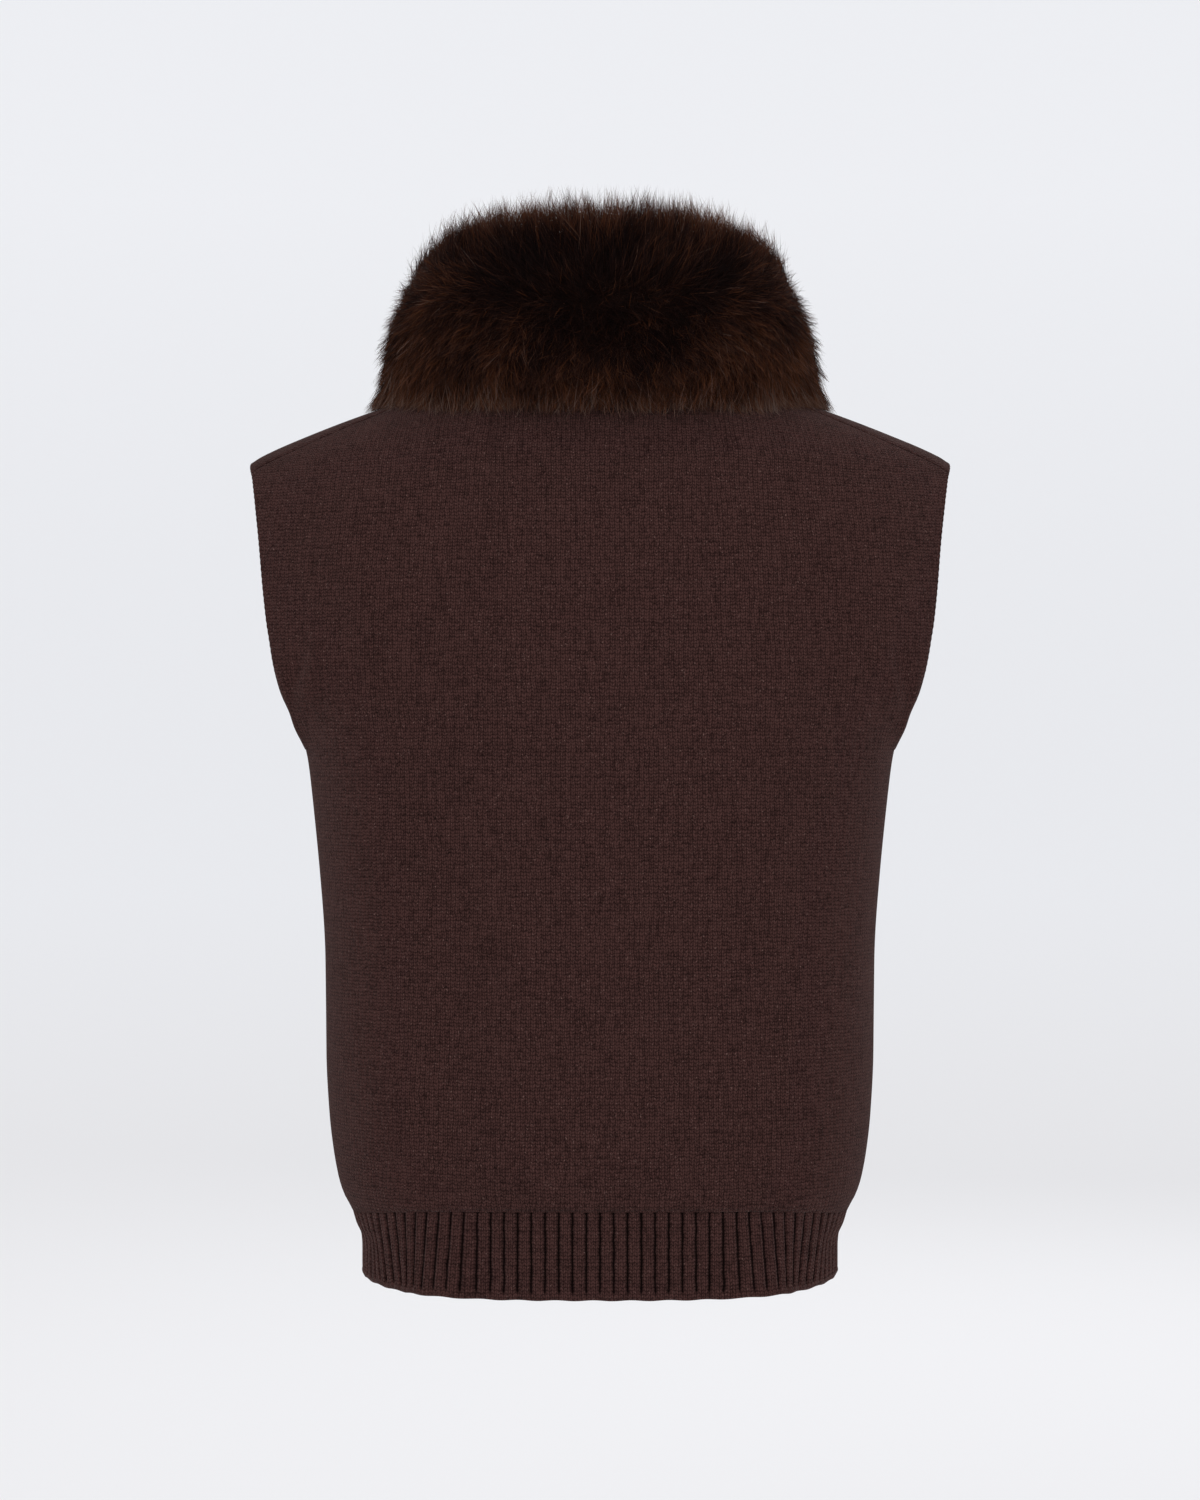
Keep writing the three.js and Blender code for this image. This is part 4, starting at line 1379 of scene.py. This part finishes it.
    def undercoat(self, finish: bpy.types.Material) -> bpy.types.Object:
        """Make the closed body beneath the hair.

        Args:
            finish: the underfur's material.

        Returns:
            The body.
        """
        turns, rounds = np.linspace(-self.turn_end, self.turn_end, 220), np.linspace(0, 15, 90)[:-1]
        turn, along = np.meshgrid(turns, rounds, indexing="ij")
        wobble = np.sin(turn / 3.1 + along * 2.3) * np.sin(along * 3.7 - turn / 5.3) * 0.02
        points = self.skin(turn, along, (self.core + wobble)[..., None])
        rows, columns = turn.shape
        faces = Mesh.quads(rows, columns, around=True)
        caps = [np.arange(columns)[None], np.arange(columns)[None, ::-1] + (rows - 1) * columns]
        piece = Mesh.make("fur_undercoat", points, [faces, caps[0], caps[1]], {})
        Mesh.face_out(piece)
        piece.data.materials.append(finish)
        report(piece, "fur", "fur_collar")
        return piece

    def stretch(self, turn: Grid, along: Grid) -> tuple[Grid, Grid]:
        """How many mm a degree of turn and a step along the section make.

        Args:
            turn: degrees round the neck.
            along: places round the section.

        Returns:
            The two lengths at each place.
        """
        round_ = self.envelope(turn + 0.5, along) - self.envelope(turn - 0.5, along)
        step = (self.envelope(turn, along + 0.05) - self.envelope(turn, along - 0.05)) / 0.1
        return np.maximum(np.linalg.norm(round_, axis=-1), 0.3), np.maximum(np.linalg.norm(step, axis=-1), 4)

    def comb(self, turn: Grid, along: Grid, random: np.random.Generator) -> tuple[Grid, Grid]:
        """Which way the hair lies: out from a parting at the middle of the back, down below it.

        Args:
            turn: degrees round the neck.
            along: places round the section.
            random: the source of chance.

        Returns:
            Steps in turn (degrees) and along the section that a hair's tip lies from its root.
        """
        point = self.envelope(turn, along)
        high = point[..., 2] - self.parting
        across = turn * 2.1
        fade = 1 - 0.8 * smooth(125, 178, np.abs(turn))
        out = np.tanh(across / 60) * (0.22 + 0.70 * smooth(-44, 10, high)) * fade
        up = np.where(high > 0, 1.0, -1.0) * smooth(0, 24, np.abs(high))
        up = blend(up, -0.6, smooth(60, 140, np.abs(across)) * (along < 8.4) * 0.6)
        up = up * (1 - 0.8 * self.streak(point[..., 0], (high - 12) * 0.7) * (along < 9.6))
        up = np.where(along > 9.6, 0.55, up)
        loose = blend(0.32, 0.80, smooth(6, 34, high))
        sway = random.normal(0, 1, np.shape(turn)) * loose + 0.20 * np.sin(across / 17 + high / 13)
        lean = np.arctan2(up, out + 1e-6) + sway
        far = self.lean * np.clip(np.hypot(out, up), 0.35, 1.0) * (1 - 0.35 * smooth(9, 11, along))
        round_, step = self.stretch(turn, along)
        return np.cos(lean) * far / round_, np.sin(lean) * far / step

    def hair(self, finish: bpy.types.Material) -> None:
        """Grow the guard hair in locks and the fine hair between them, each in two pieces.

        Args:
            finish: the fur's material.
        """
        random = np.random.default_rng(self.seed)
        for kind in self.kinds:
            count = kind.locks
            turn, along = self.scatter(random, count)
            tips = self.comb(turn, along, random)
            long = random.uniform(0.6, 1.25, count)
            lock = {
                "turn": turn,
                "along": along,
                "tip_turn": turn + tips[0] * long,
                "tip_along": along + tips[1] * long,
                "length": random.normal(0, self.uneven, count)
                + self.tuft * (random.uniform(0, 1, count) < self.tufts),
                "tone": random.normal(0, 0.10, count),
            }
            for number, own in enumerate(np.array_split(random.permutation(count), self.pieces)):
                picked = {key: np.repeat(value[own], kind.each) for key, value in lock.items()}
                self.strands(f"fur_{kind.name}_{number + 1}", kind, picked, random, finish)

    def scatter(self, random: np.random.Generator, count: int) -> tuple[Grid, Grid]:
        """Places of the locks, even over the collar's outside, top and inside.

        Args:
            random: the source of chance.
            count: how many.

        Returns:
            Turns and places round the section.
        """
        turn = random.uniform(-self.turn_end, self.turn_end, count * 6)
        along = random.uniform(2.7, 14.6, count * 6)
        round_, step = self.stretch(turn, along)
        area = round_ * step
        keep = np.flatnonzero(random.uniform(0, 1, len(area)) < area / np.quantile(area, 0.97))
        keep = keep[:count] if len(keep) >= count else random.choice(len(area), count, replace=False)
        return turn[keep], along[keep]

    @staticmethod
    def streak(x: Grid, high: Grid) -> Grid:
        """Share of the pale lock that sweeps out over the wearer's right, at places x and heights over it."""
        return np.exp(-(((x + 46) / 24) ** 2) - (high / 8) ** 2)

    def tone(self, point: Grid, turn: Grid) -> Grid:
        """Warmth of the hair: near black round the parting, brown further out.

        Args:
            point: places near the tips of the hair.
            turn: degrees round the neck.

        Returns:
            Values from 0, near black, to 1, greyish.
        """
        high = point[..., 2] - self.parting + 8
        far = np.hypot(point[..., 0] / 104, np.where(high > 0, high / 42, high / 57))
        ring = smooth(0.5, 1.6, far)
        patch = 0.10 * np.sin(turn / 7.3 + 1.0) * np.sin(point[..., 2] / 15 + turn / 21)
        patch = patch + 0.06 * np.sin(turn / 3.1 + point[..., 2] / 9)
        over_cloth = point[..., 2] - FORM.cloth_z(point[..., 0], point[..., 1])
        fringe = 0.16 * smooth(0, 1, (15 - over_cloth) / 12)
        middle = 1 - smooth(35, 95, np.abs(point[..., 0]))
        crown = 0.26 * smooth(28, 44, high) - 0.08 * smooth(6, 22, high) * middle
        streak = 0.26 * self.streak(point[..., 0], point[..., 2] - 110)
        return 0.10 + 0.38 * ring + patch + fringe + crown + streak

    def tips(
        self, kind: Hair, lock: dict[str, Grid], random: np.random.Generator, off: Grid
    ) -> tuple[Grid, Grid, Grid]:
        """Place the tips of hairs near the fur's outside.

        Args:
            kind: the kind of hair.
            lock: tip and length of each hair's lock.
            random: the source of chance.
            off: each hair's chance, in two rows.

        Returns:
            The tips, the outside's normals there, and which hairs stray over the cloth at the foot.
        """
        count = len(lock["turn"])
        round_, step = self.stretch(lock["turn"], lock["along"])
        stray = random.uniform(0, 1, count) < self.loose_share
        loose = np.where(stray, self.loose_spread, kind.spread)
        end = self.turn_end + 1.5
        turn = np.clip(lock["tip_turn"] + off[0] * loose / round_, -end, end)
        along = np.clip(lock["tip_along"] + off[1] * loose / step, 2.2, 15.4)
        aside = smooth(15, 70, np.abs(turn))
        along += 0.33 * (1 - aside) * (1 - smooth(3.6, 5.0, along))
        held = np.clip(along, 3.0, 15.0)
        over = np.clip(3.0 - along, 0, 0.5) * aside * 8
        stray_foot = (random.uniform(0, 1, count) < self.foot_strays) & (along < 3.6)
        over += stray_foot * random.uniform(0, self.foot_stray, count)
        normal = self.normal(turn, held)
        tip = self.envelope(turn, held)
        angle = np.radians(turn)
        out = np.stack([np.sin(angle), np.cos(angle), 0 * angle], -1)
        here, there = FORM.cloth_z(tip[:, 0], tip[:, 1]), FORM.cloth_z(*(tip + out * 5)[:, :2].T)
        slope = unit(out * 5 + np.stack([0 * here, 0 * here, there - here], -1))
        tip += slope * over[:, None]
        high = smooth(86, 126, tip[:, 2])
        short = blend(*kind.short, high) * smooth(3.0, 4.4, held)
        x = np.abs(tip[:, 0])
        short += high * (3.2 * np.exp(-(((x - 108) / 24) ** 2)) - 2.6 * np.exp(-((x / 62) ** 2)))
        proud = random.uniform(0, 1, count) ** blend(4.0, kind.stray_power, high) * blend(*self.stray, high)
        reach = lock["length"] - short + proud + random.normal(0, 0.8, count)
        tip += normal * np.minimum(reach, self.most_proud)[:, None]
        return tip, normal, stray_foot

    def strands(
        self,
        name: str,
        kind: Hair,
        lock: dict[str, Grid],
        random: np.random.Generator,
        finish: bpy.types.Material,
    ) -> None:
        """Make one piece of fur from tapering hairs.

        Args:
            name: the piece's name.
            kind: the kind of hair.
            lock: root, tip, length and tone of each hair's lock.
            random: the source of chance.
            finish: the fur's material.
        """
        count = len(lock["turn"])
        round_, step = self.stretch(lock["turn"], lock["along"])
        off = random.normal(0, 1, (4, count))
        turn = np.clip(lock["turn"] + off[0] * self.root_spread / round_, -self.turn_end, self.turn_end)
        along = np.clip(lock["along"] + off[1] * self.root_spread / step, 2.6, 14.8)
        root = self.skin(turn, along, self.core - 0.03)
        tip, normal, stray_foot = self.tips(kind, lock, random, off[2:])
        bow = random.normal(*self.bow, count)[:, None]
        middle = blend(root, tip, 0.5) + self.normal(turn, along) * bow
        places = np.array(kind.places)
        t = places[:, None, None]
        line = root * (1 - t) ** 2 + middle * 2 * t * (1 - t) + tip * t**2
        line[1:-1] += random.normal(0, self.waver, (len(places) - 2, count, 3))
        floor = FORM.cloth_z(line[..., 0], line[..., 1]) + 0.7
        line[..., 2] = np.maximum(line[..., 2], np.where(along[None] < 9, floor, -999))
        facing = normal + random.normal(0, self.twist, (count, 3))
        flat = unit(np.cross(unit(line[-1] - line[0]), facing))
        wide = flat * random.uniform(*kind.thin, count)[:, None]
        rows = [line[k] + sign * wide * size for k, size in enumerate(kind.taper) for sign in (-1, 1)]
        points = np.stack([*rows, line[-1]], 1)
        warmth = self.tone(line[-2], turn) + lock["tone"] + random.normal(0, self.mottle, count)
        pale = random.uniform(0, 1, count) < np.where(stray_foot, self.pale_foot, self.pale_share)
        warmth = np.clip(warmth + self.paler * pale, 0.01, 0.99)
        each = points.shape[1]
        share = np.tile([*np.repeat(places[:-1], 2), 1.0], (count, 1))
        strand = np.stack([np.repeat(warmth[:, None], each, 1), share], -1)
        start = np.arange(count)[:, None] * each
        faces = [start + [k, k + 1, k + 3, k + 2] for k in range(0, each - 3, 2)]
        tips = start + [each - 3, each - 2, each - 1]
        piece = Mesh.make(name, points, [np.concatenate(faces), tips], {Map.STRAND: strand})
        piece.data.materials.append(finish)
        report(piece, "fur")


# ---------------------------------------------------------------------------------------------------
# Zip
# ---------------------------------------------------------------------------------------------------


@dataclass(frozen=True)
class Zip:
    """The front zip: two woven tapes, interlocked metal teeth, the box at its foot, and the slider."""

    tape_near: float = 0.9
    tape_far: float = 20.0
    tape_out: float = 4.4
    tape_thick: float = 1.0
    tape_foot: float = -564.0
    tape_top: float = -27.5
    pitch: float = 2.2
    chain_in: float = 2.2
    chain_foot: float = -549.0
    chain_top: float = -49.5
    cord: float = 0.9
    box_wide: Pair = (-3.4, 3.4)
    box_high: Pair = (-563.2, -549.6)
    box_deep: float = 1.7
    box_corner: float = 1.2
    plate_edge: float = 0.35
    pin_y: float = -5.6
    pin_z: float = 2.2
    pin_radius: float = 0.9
    slider_place: tuple = (0.0, -98.226, -47.220)
    slider_lean: float = -15.999

    @staticmethod
    def behind(x: Grid, z: Grid, inside: Grid | float) -> tuple[Grid, Grid]:
        """Points behind the outer face at the front, and the way out of the cloth there.

        Args:
            x: places across.
            z: heights.
            inside: how far behind the outer face.

        Returns:
            Points and unit normals, with a last axis of three.
        """

        def face(height: Grid) -> Grid:
            """The outer face.

            Args:
                height: heights at the given places across.

            Returns:
                Its points.
            """
            low = np.minimum(height, FORM.bend)
            point = FORM.wall(x / FORM.half(height), low, Side.FRONT)
            rise = np.clip((height - FORM.bend) / (FORM.crest(x) - FORM.bend), 0, 1)
            bent = point[..., 1] * (1 - rise**FORM.bend_power) ** (1 / FORM.bend_power)
            return np.stack([x, bent, height], -1)

        ahead = face(z + 2) - face(z - 2)
        normal = unit(np.stack([0 * x, -ahead[..., 2], ahead[..., 1]], -1))
        return face(z) - normal * np.asarray(inside)[..., None], normal

    def tape(self, hand: Hand, finish: bpy.types.Material) -> None:
        """Lay one tape behind a front's edge, thickened to a cord beneath the teeth.

        Args:
            hand: which front.
            finish: the tape's material.
        """
        key = "left" if hand is Hand.LEFT else "right"
        across = hand.value * np.array([self.tape_near, 1.3, 1.9, 2.5, 3.2, 5, 8, 12, 16, self.tape_far])
        up = np.arange(self.tape_foot, self.tape_top, 5.0)
        x, z = np.broadcast_arrays(across, up[:, None])
        cord = self.cord * np.exp(-(((np.abs(x) - 1.8) / 0.8) ** 2))
        outer, _ = self.behind(x, z, self.tape_out - cord)
        inner, _ = self.behind(x, z, self.tape_out + self.tape_thick + 0 * x)
        piece = Mesh.shell(f"woven_tape_{key}", outer, inner, np.stack([x, z], -1))
        piece.data.materials.append(finish)
        report(piece, "tape", f"zip_tape_{key}")

    def teeth(self, finish: bpy.types.Material) -> None:
        """Set two rows of interlocking teeth on the tapes' cords, with the box at the foot.

        Args:
            finish: the metal.
        """
        # place across, half height and half depth of a tooth's sections, from its hook to the cord
        hook = ((-0.75, 0.32, 0.5), (-0.3, 0.62, 0.95), (0.5, 0.5, 1.0))
        shank = ((1.5, 0.66, 1.2), (2.7, 0.66, 1.25), (3.0, 0.4, 0.9))
        sections = np.array(hook + shank)
        angle = np.radians([0, 50, 130, 180, 230, 310])
        ring = np.stack([np.sin(angle) * 1.12, np.cos(angle)], -1)
        count = int((self.chain_top - self.chain_foot) / self.pitch)
        points, faces, start = [], [], 0
        loop = len(ring)
        shape = Mesh.quads(len(sections), loop, around=True)
        right = np.array([1.0, 0, 0])
        for hand in Hand:
            z = self.chain_foot + self.pitch * (np.arange(count) + (0.5 if hand is Hand.LEFT else 0.0))
            middle, normal = self.behind(0 * z, z, self.chain_in + 0 * z)
            for at, out, up in zip(middle, normal, np.cross(normal, right)):
                across = right * sections[:, None, 0:1] * hand.value
                high = up * sections[:, None, 1:2] * ring[None, :, 1:2]
                deep = out * sections[:, None, 2:3] * ring[None, :, 0:1]
                points.append((at + high + deep + across).reshape(-1, 3))
                faces.append(shape + start)
                start += len(sections) * loop
        first = np.arange(0, start, len(sections) * loop)[:, None] + np.arange(loop)[::-1]
        last = first + (len(sections) - 1) * loop
        box_points, box_faces = self.box()
        box_faces = [f + start for f in box_faces]
        sides = np.concatenate([*faces, box_faces[0]])
        all_points = np.concatenate([*points, box_points])
        piece = Mesh.make("zip_teeth", all_points, [sides, first, last[:, ::-1], *box_faces[1:]], {})
        Mesh.face_out(piece)
        piece.data.materials.append(finish)
        report(piece, "zip_metal", "zip_chain")

    def box(self) -> tuple[Grid, list[Grid]]:
        """The box at the chain's foot, with rounded corners and edges.

        Returns:
            Its points; and its sides and its two ends, as arrays of corner numbers.
        """
        corners = np.radians(np.arange(0, 360, 15))
        half_x, half_z = (np.ptp(ends) / 2 for ends in (self.box_wide, self.box_high))
        cx, cz = np.sign(np.cos(corners)), np.sign(np.sin(corners))
        soft, deep = self.box_corner, self.box_deep
        outer_half = ((0.9, deep), (0.25, deep - 0.25), (0.0, deep - 0.8))
        rings = []
        for inset, depth in [(inset, -depth) for inset, depth in outer_half] + list(outer_half[::-1]):
            x = cx * (half_x - soft) + np.cos(corners) * (soft - inset)
            z = cz * (half_z - soft) + np.sin(corners) * (soft - inset) + sum(self.box_high) / 2
            at, normal = self.behind(0 * z, z, self.chain_in + 0 * z)
            rings.append(at + normal * depth + x[:, None] * [1.0, 0, 0])
        count = len(corners)
        end = np.arange(count)[None]
        sides = Mesh.quads(len(rings), count, around=True)
        return np.concatenate(rings), [sides, end[:, ::-1], end + (len(rings) - 1) * count]

    def slider(self, finish: bpy.types.Material) -> None:
        """Make the slider: two shield-shaped plates, a bridge between them and the lugs of the pull's pin.

        Args:
            finish: the metal.
        """
        points, faces, caps, start = [], [], [], 0

        def slab(outline: Grid, axis: int, low: float, high: float, round_: float) -> None:
            """Add a plate with softened edges.

            Args:
                outline: its outline, across its axis.
                axis: the axis that it is thick along.
                low: where it begins on that axis.
                high: where it ends.
                round_: how far its edges are rounded.
            """
            nonlocal start
            centre = outline.mean(0)
            sides = [k for k in range(3) if k != axis]
            reach = np.abs(outline - centre).max(0)
            softened = ((round_, 0), (round_ * 0.3, round_ * 0.3), (0, round_))
            rings = []
            ends = [(inset, low + depth) for inset, depth in softened]
            ends += [(inset, high - depth) for inset, depth in softened[::-1]]
            for inset, place in ends:
                ring = np.zeros((len(outline), 3))
                ring[:, sides] = centre + (outline - centre) * (1 - inset / reach)
                ring[:, axis] = place
                rings.append(ring)
            points.append(np.concatenate(rings))
            faces.append(Mesh.quads(len(rings), len(outline), around=True) + start)
            end = np.arange(len(outline))[None] + start
            caps.append([end[:, ::-1], end + (len(rings) - 1) * len(outline)])
            start += len(rings) * len(outline)

        turn = np.linspace(0, 2 * math.pi, 33)[:-1]
        squareness = 0.55
        round_x, round_z = np.cos(turn), np.sin(turn)
        x, z = (np.sign(line) * np.abs(line) ** squareness for line in (round_x, round_z))
        shield = np.stack([x * (4.0 + 0.6 * z), z * 7.0], -1)
        slab(shield, 1, -1.7, -0.3, self.plate_edge)
        slab(shield, 1, 5.5, 6.9, self.plate_edge)
        slab(np.stack([x * 2.3, z * 1.5 + 5.5], -1), 1, -0.6, 5.9, 0.1)
        lug = np.stack([x * 2.891 - 3.95, z * 1.7 + self.pin_z], -1)
        slab(lug, 0, 3.1, 4.4, 0.25)
        slab(lug, 0, -4.4, -3.1, 0.25)
        pin = np.stack([self.pin_y + self.pin_radius * round_x, self.pin_z + self.pin_radius * round_z], -1)
        slab(pin, 0, -4.55, 4.55, 0.15)
        lean = math.radians(self.slider_lean)
        level, tilt = math.cos(lean), math.sin(lean)
        turned = np.array([[1, 0, 0], [0, level, -tilt], [0, tilt, level]])
        placed = np.concatenate(points) @ turned.T + np.array(self.slider_place)
        ends = [cap for pair in caps for cap in pair]
        piece = Mesh.make("slider_body", placed, [np.concatenate(faces), *ends], {})
        Mesh.face_out(piece)
        piece.data.materials.append(finish)
        report(piece, "zip_metal", "zip_slider")

    def build(self, metal: bpy.types.Material, woven: bpy.types.Material) -> None:
        """Make every part of the zip but the pull tab, whose node is kept.

        Args:
            metal: the teeth's and slider's material.
            woven: the tapes' material.
        """
        for hand in Hand:
            self.tape(hand, woven)
        self.teeth(metal)
        self.slider(metal)


# ---------------------------------------------------------------------------------------------------
# Studio
# ---------------------------------------------------------------------------------------------------


@dataclass(frozen=True)
class Lamp:
    """One soft area lamp, in metres."""

    name: str
    place: tuple[float, float, float]
    aim: tuple[float, float, float]
    size: float
    power: float

    def build(self) -> None:
        """Hang the lamp and turn it to its aim."""
        data = bpy.data.lights.new(self.name, "AREA")
        data.shape, data.size, data.energy = "DISK", self.size, self.power
        lamp = bpy.data.objects.new(self.name, data)
        lamp.location = self.place
        lamp.rotation_euler = (Vector(self.aim) - Vector(self.place)).to_track_quat("-Z", "Y").to_euler()
        bpy.context.scene.collection.objects.link(lamp)


@dataclass(frozen=True)
class Studio:
    """A pale seamless studio all round, its lamps and the camera, in metres."""

    floor_z: float = -1.02
    radius: float = 6.5
    cove: float = 1.6
    height: float = 4.2
    sides: int = 96
    air: tuple = (0.96, 0.97, 1.0, 1)
    air_strength: float = 0.7
    camera_far: float = 2.5
    camera_z: float = -0.214
    lens: float = 89.55
    lamps: tuple[Lamp, ...] = (
        Lamp("key_lamp", (0.9, 3.1, 1.7), (0, 0, -0.15), 1.8, 26),
        Lamp("fill_lamp", (-1.7, 2.9, 0.3), (0, 0, -0.25), 1.6, 14),
        Lamp("top_lamp", (0.0, 0.2, 2.6), (0, 0, 0), 2.2, 12),
        Lamp("front_lamp", (-0.8, -3.2, 1.5), (0, 0, -0.2), 1.9, 26),
    )

    def backdrop(self) -> None:
        """Lay the floor and bend it up into a wall all round."""
        bend = np.linspace(0, math.pi / 2, 16)[1:]
        flat = self.radius - self.cove
        floor = np.concatenate([[0.001], np.linspace(0.8, flat, 7)])
        reach = np.concatenate([floor, flat + self.cove * np.sin(bend), [self.radius]])
        height = np.concatenate([0 * floor, self.cove * (1 - np.cos(bend)), [self.height]])
        angle = np.linspace(0, 2 * math.pi, self.sides + 1)[:-1]
        ring = np.stack([np.cos(angle), np.sin(angle), 0 * angle], -1)
        points = reach[:, None, None] * ring + (height[:, None, None] + self.floor_z) * np.array([0, 0, 1.0])
        paper = Mesh.make("studio_paper", points / MM, [Mesh.quads(len(reach), self.sides, around=True)], {})
        paper.data.materials.append(StudioFinish().material())

    def camera(self) -> None:
        """Set the camera level, square to the back."""
        data = bpy.data.cameras.new("camera")
        data.lens, data.sensor_width, data.sensor_fit = self.lens, 36.0, "AUTO"
        camera = bpy.data.objects.new("camera", data)
        camera.location = (0, self.camera_far, self.camera_z)
        camera.rotation_euler = (math.pi / 2, 0, math.pi)
        bpy.context.scene.collection.objects.link(camera)
        bpy.context.scene.camera = camera

    def build(self) -> None:
        """Set up the whole studio."""
        bpy.context.scene.view_settings.view_transform = "Standard"
        self.camera()
        self.backdrop()
        for lamp in self.lamps:
            lamp.build()
        world = bpy.data.worlds.new("studio_air")
        world.use_nodes = True
        background = world.node_tree.nodes["Background"]
        background.inputs["Color"].default_value = self.air
        background.inputs["Strength"].default_value = self.air_strength
        bpy.context.scene.world = world


def main() -> None:
    """Build the studio and every piece in order."""
    logging.basicConfig(level=logging.INFO, format="%(message)s")
    Studio().build()
    knit = YarnFinish("body_knit").material()
    # painted light: the rib is the body's yarn, its colour painted about 6% lighter to brighten the band
    # where its ribs shade its sides
    rib_yarn_painted_lighter = (0.0635, 0.0288, 0.0255)
    rib = YarnFinish("rib_knit", wale=2.734, rib=8.2, light=rib_yarn_painted_lighter, sway=1.4, sheen=0.17).material()
    folds = FRONT_FOLDS + FRONT_CREASES
    back = Panel("knit_back", "back_panel", Side.BACK, None, BACK_FOLDS + BACK_CREASES, (0.52, 0.58))
    left = Panel("knit_front_left", "front_left", Side.FRONT, Hand.LEFT, folds, (0.26, 0.63))
    right = Panel("knit_front_right", "front_right", Side.FRONT, Hand.RIGHT, folds, (0.26, 0.63))
    for panel in (back, left, right):
        panel.build(knit)
    for band in (
        HemBand("rib_back", "hem_rib_back", Side.BACK, None, 56, (0.47, 0.057)),
        HemBand("rib_front_left", "hem_rib_front_left", Side.FRONT, Hand.LEFT, 27, (0.23, 0.057)),
        HemBand("rib_front_right", "hem_rib_front_right", Side.FRONT, Hand.RIGHT, 27, (0.23, 0.057)),
    ):
        band.build(rib)
    edging = Edging()
    for hand, front in ((Hand.LEFT, left), (Hand.RIGHT, right)):
        edging.armhole(hand, back, front, knit)
        edging.shoulder(hand, back, knit)
    collar = FurCollar()
    collar.undercoat(UndercoatFinish().material())
    collar.hair(FurFinish().material())
    metal = MetalFinish().material()
    Zip().build(metal, TapeFinish().material())
    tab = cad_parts["zip_pull_tab"]
    tab = bpy.data.objects[tab] if isinstance(tab, str) else tab
    tab.data.materials.clear()
    tab.data.materials.append(metal)
    LOG.info("%s: given its metal", tab.name)


if __name__ == "__main__":
    main()
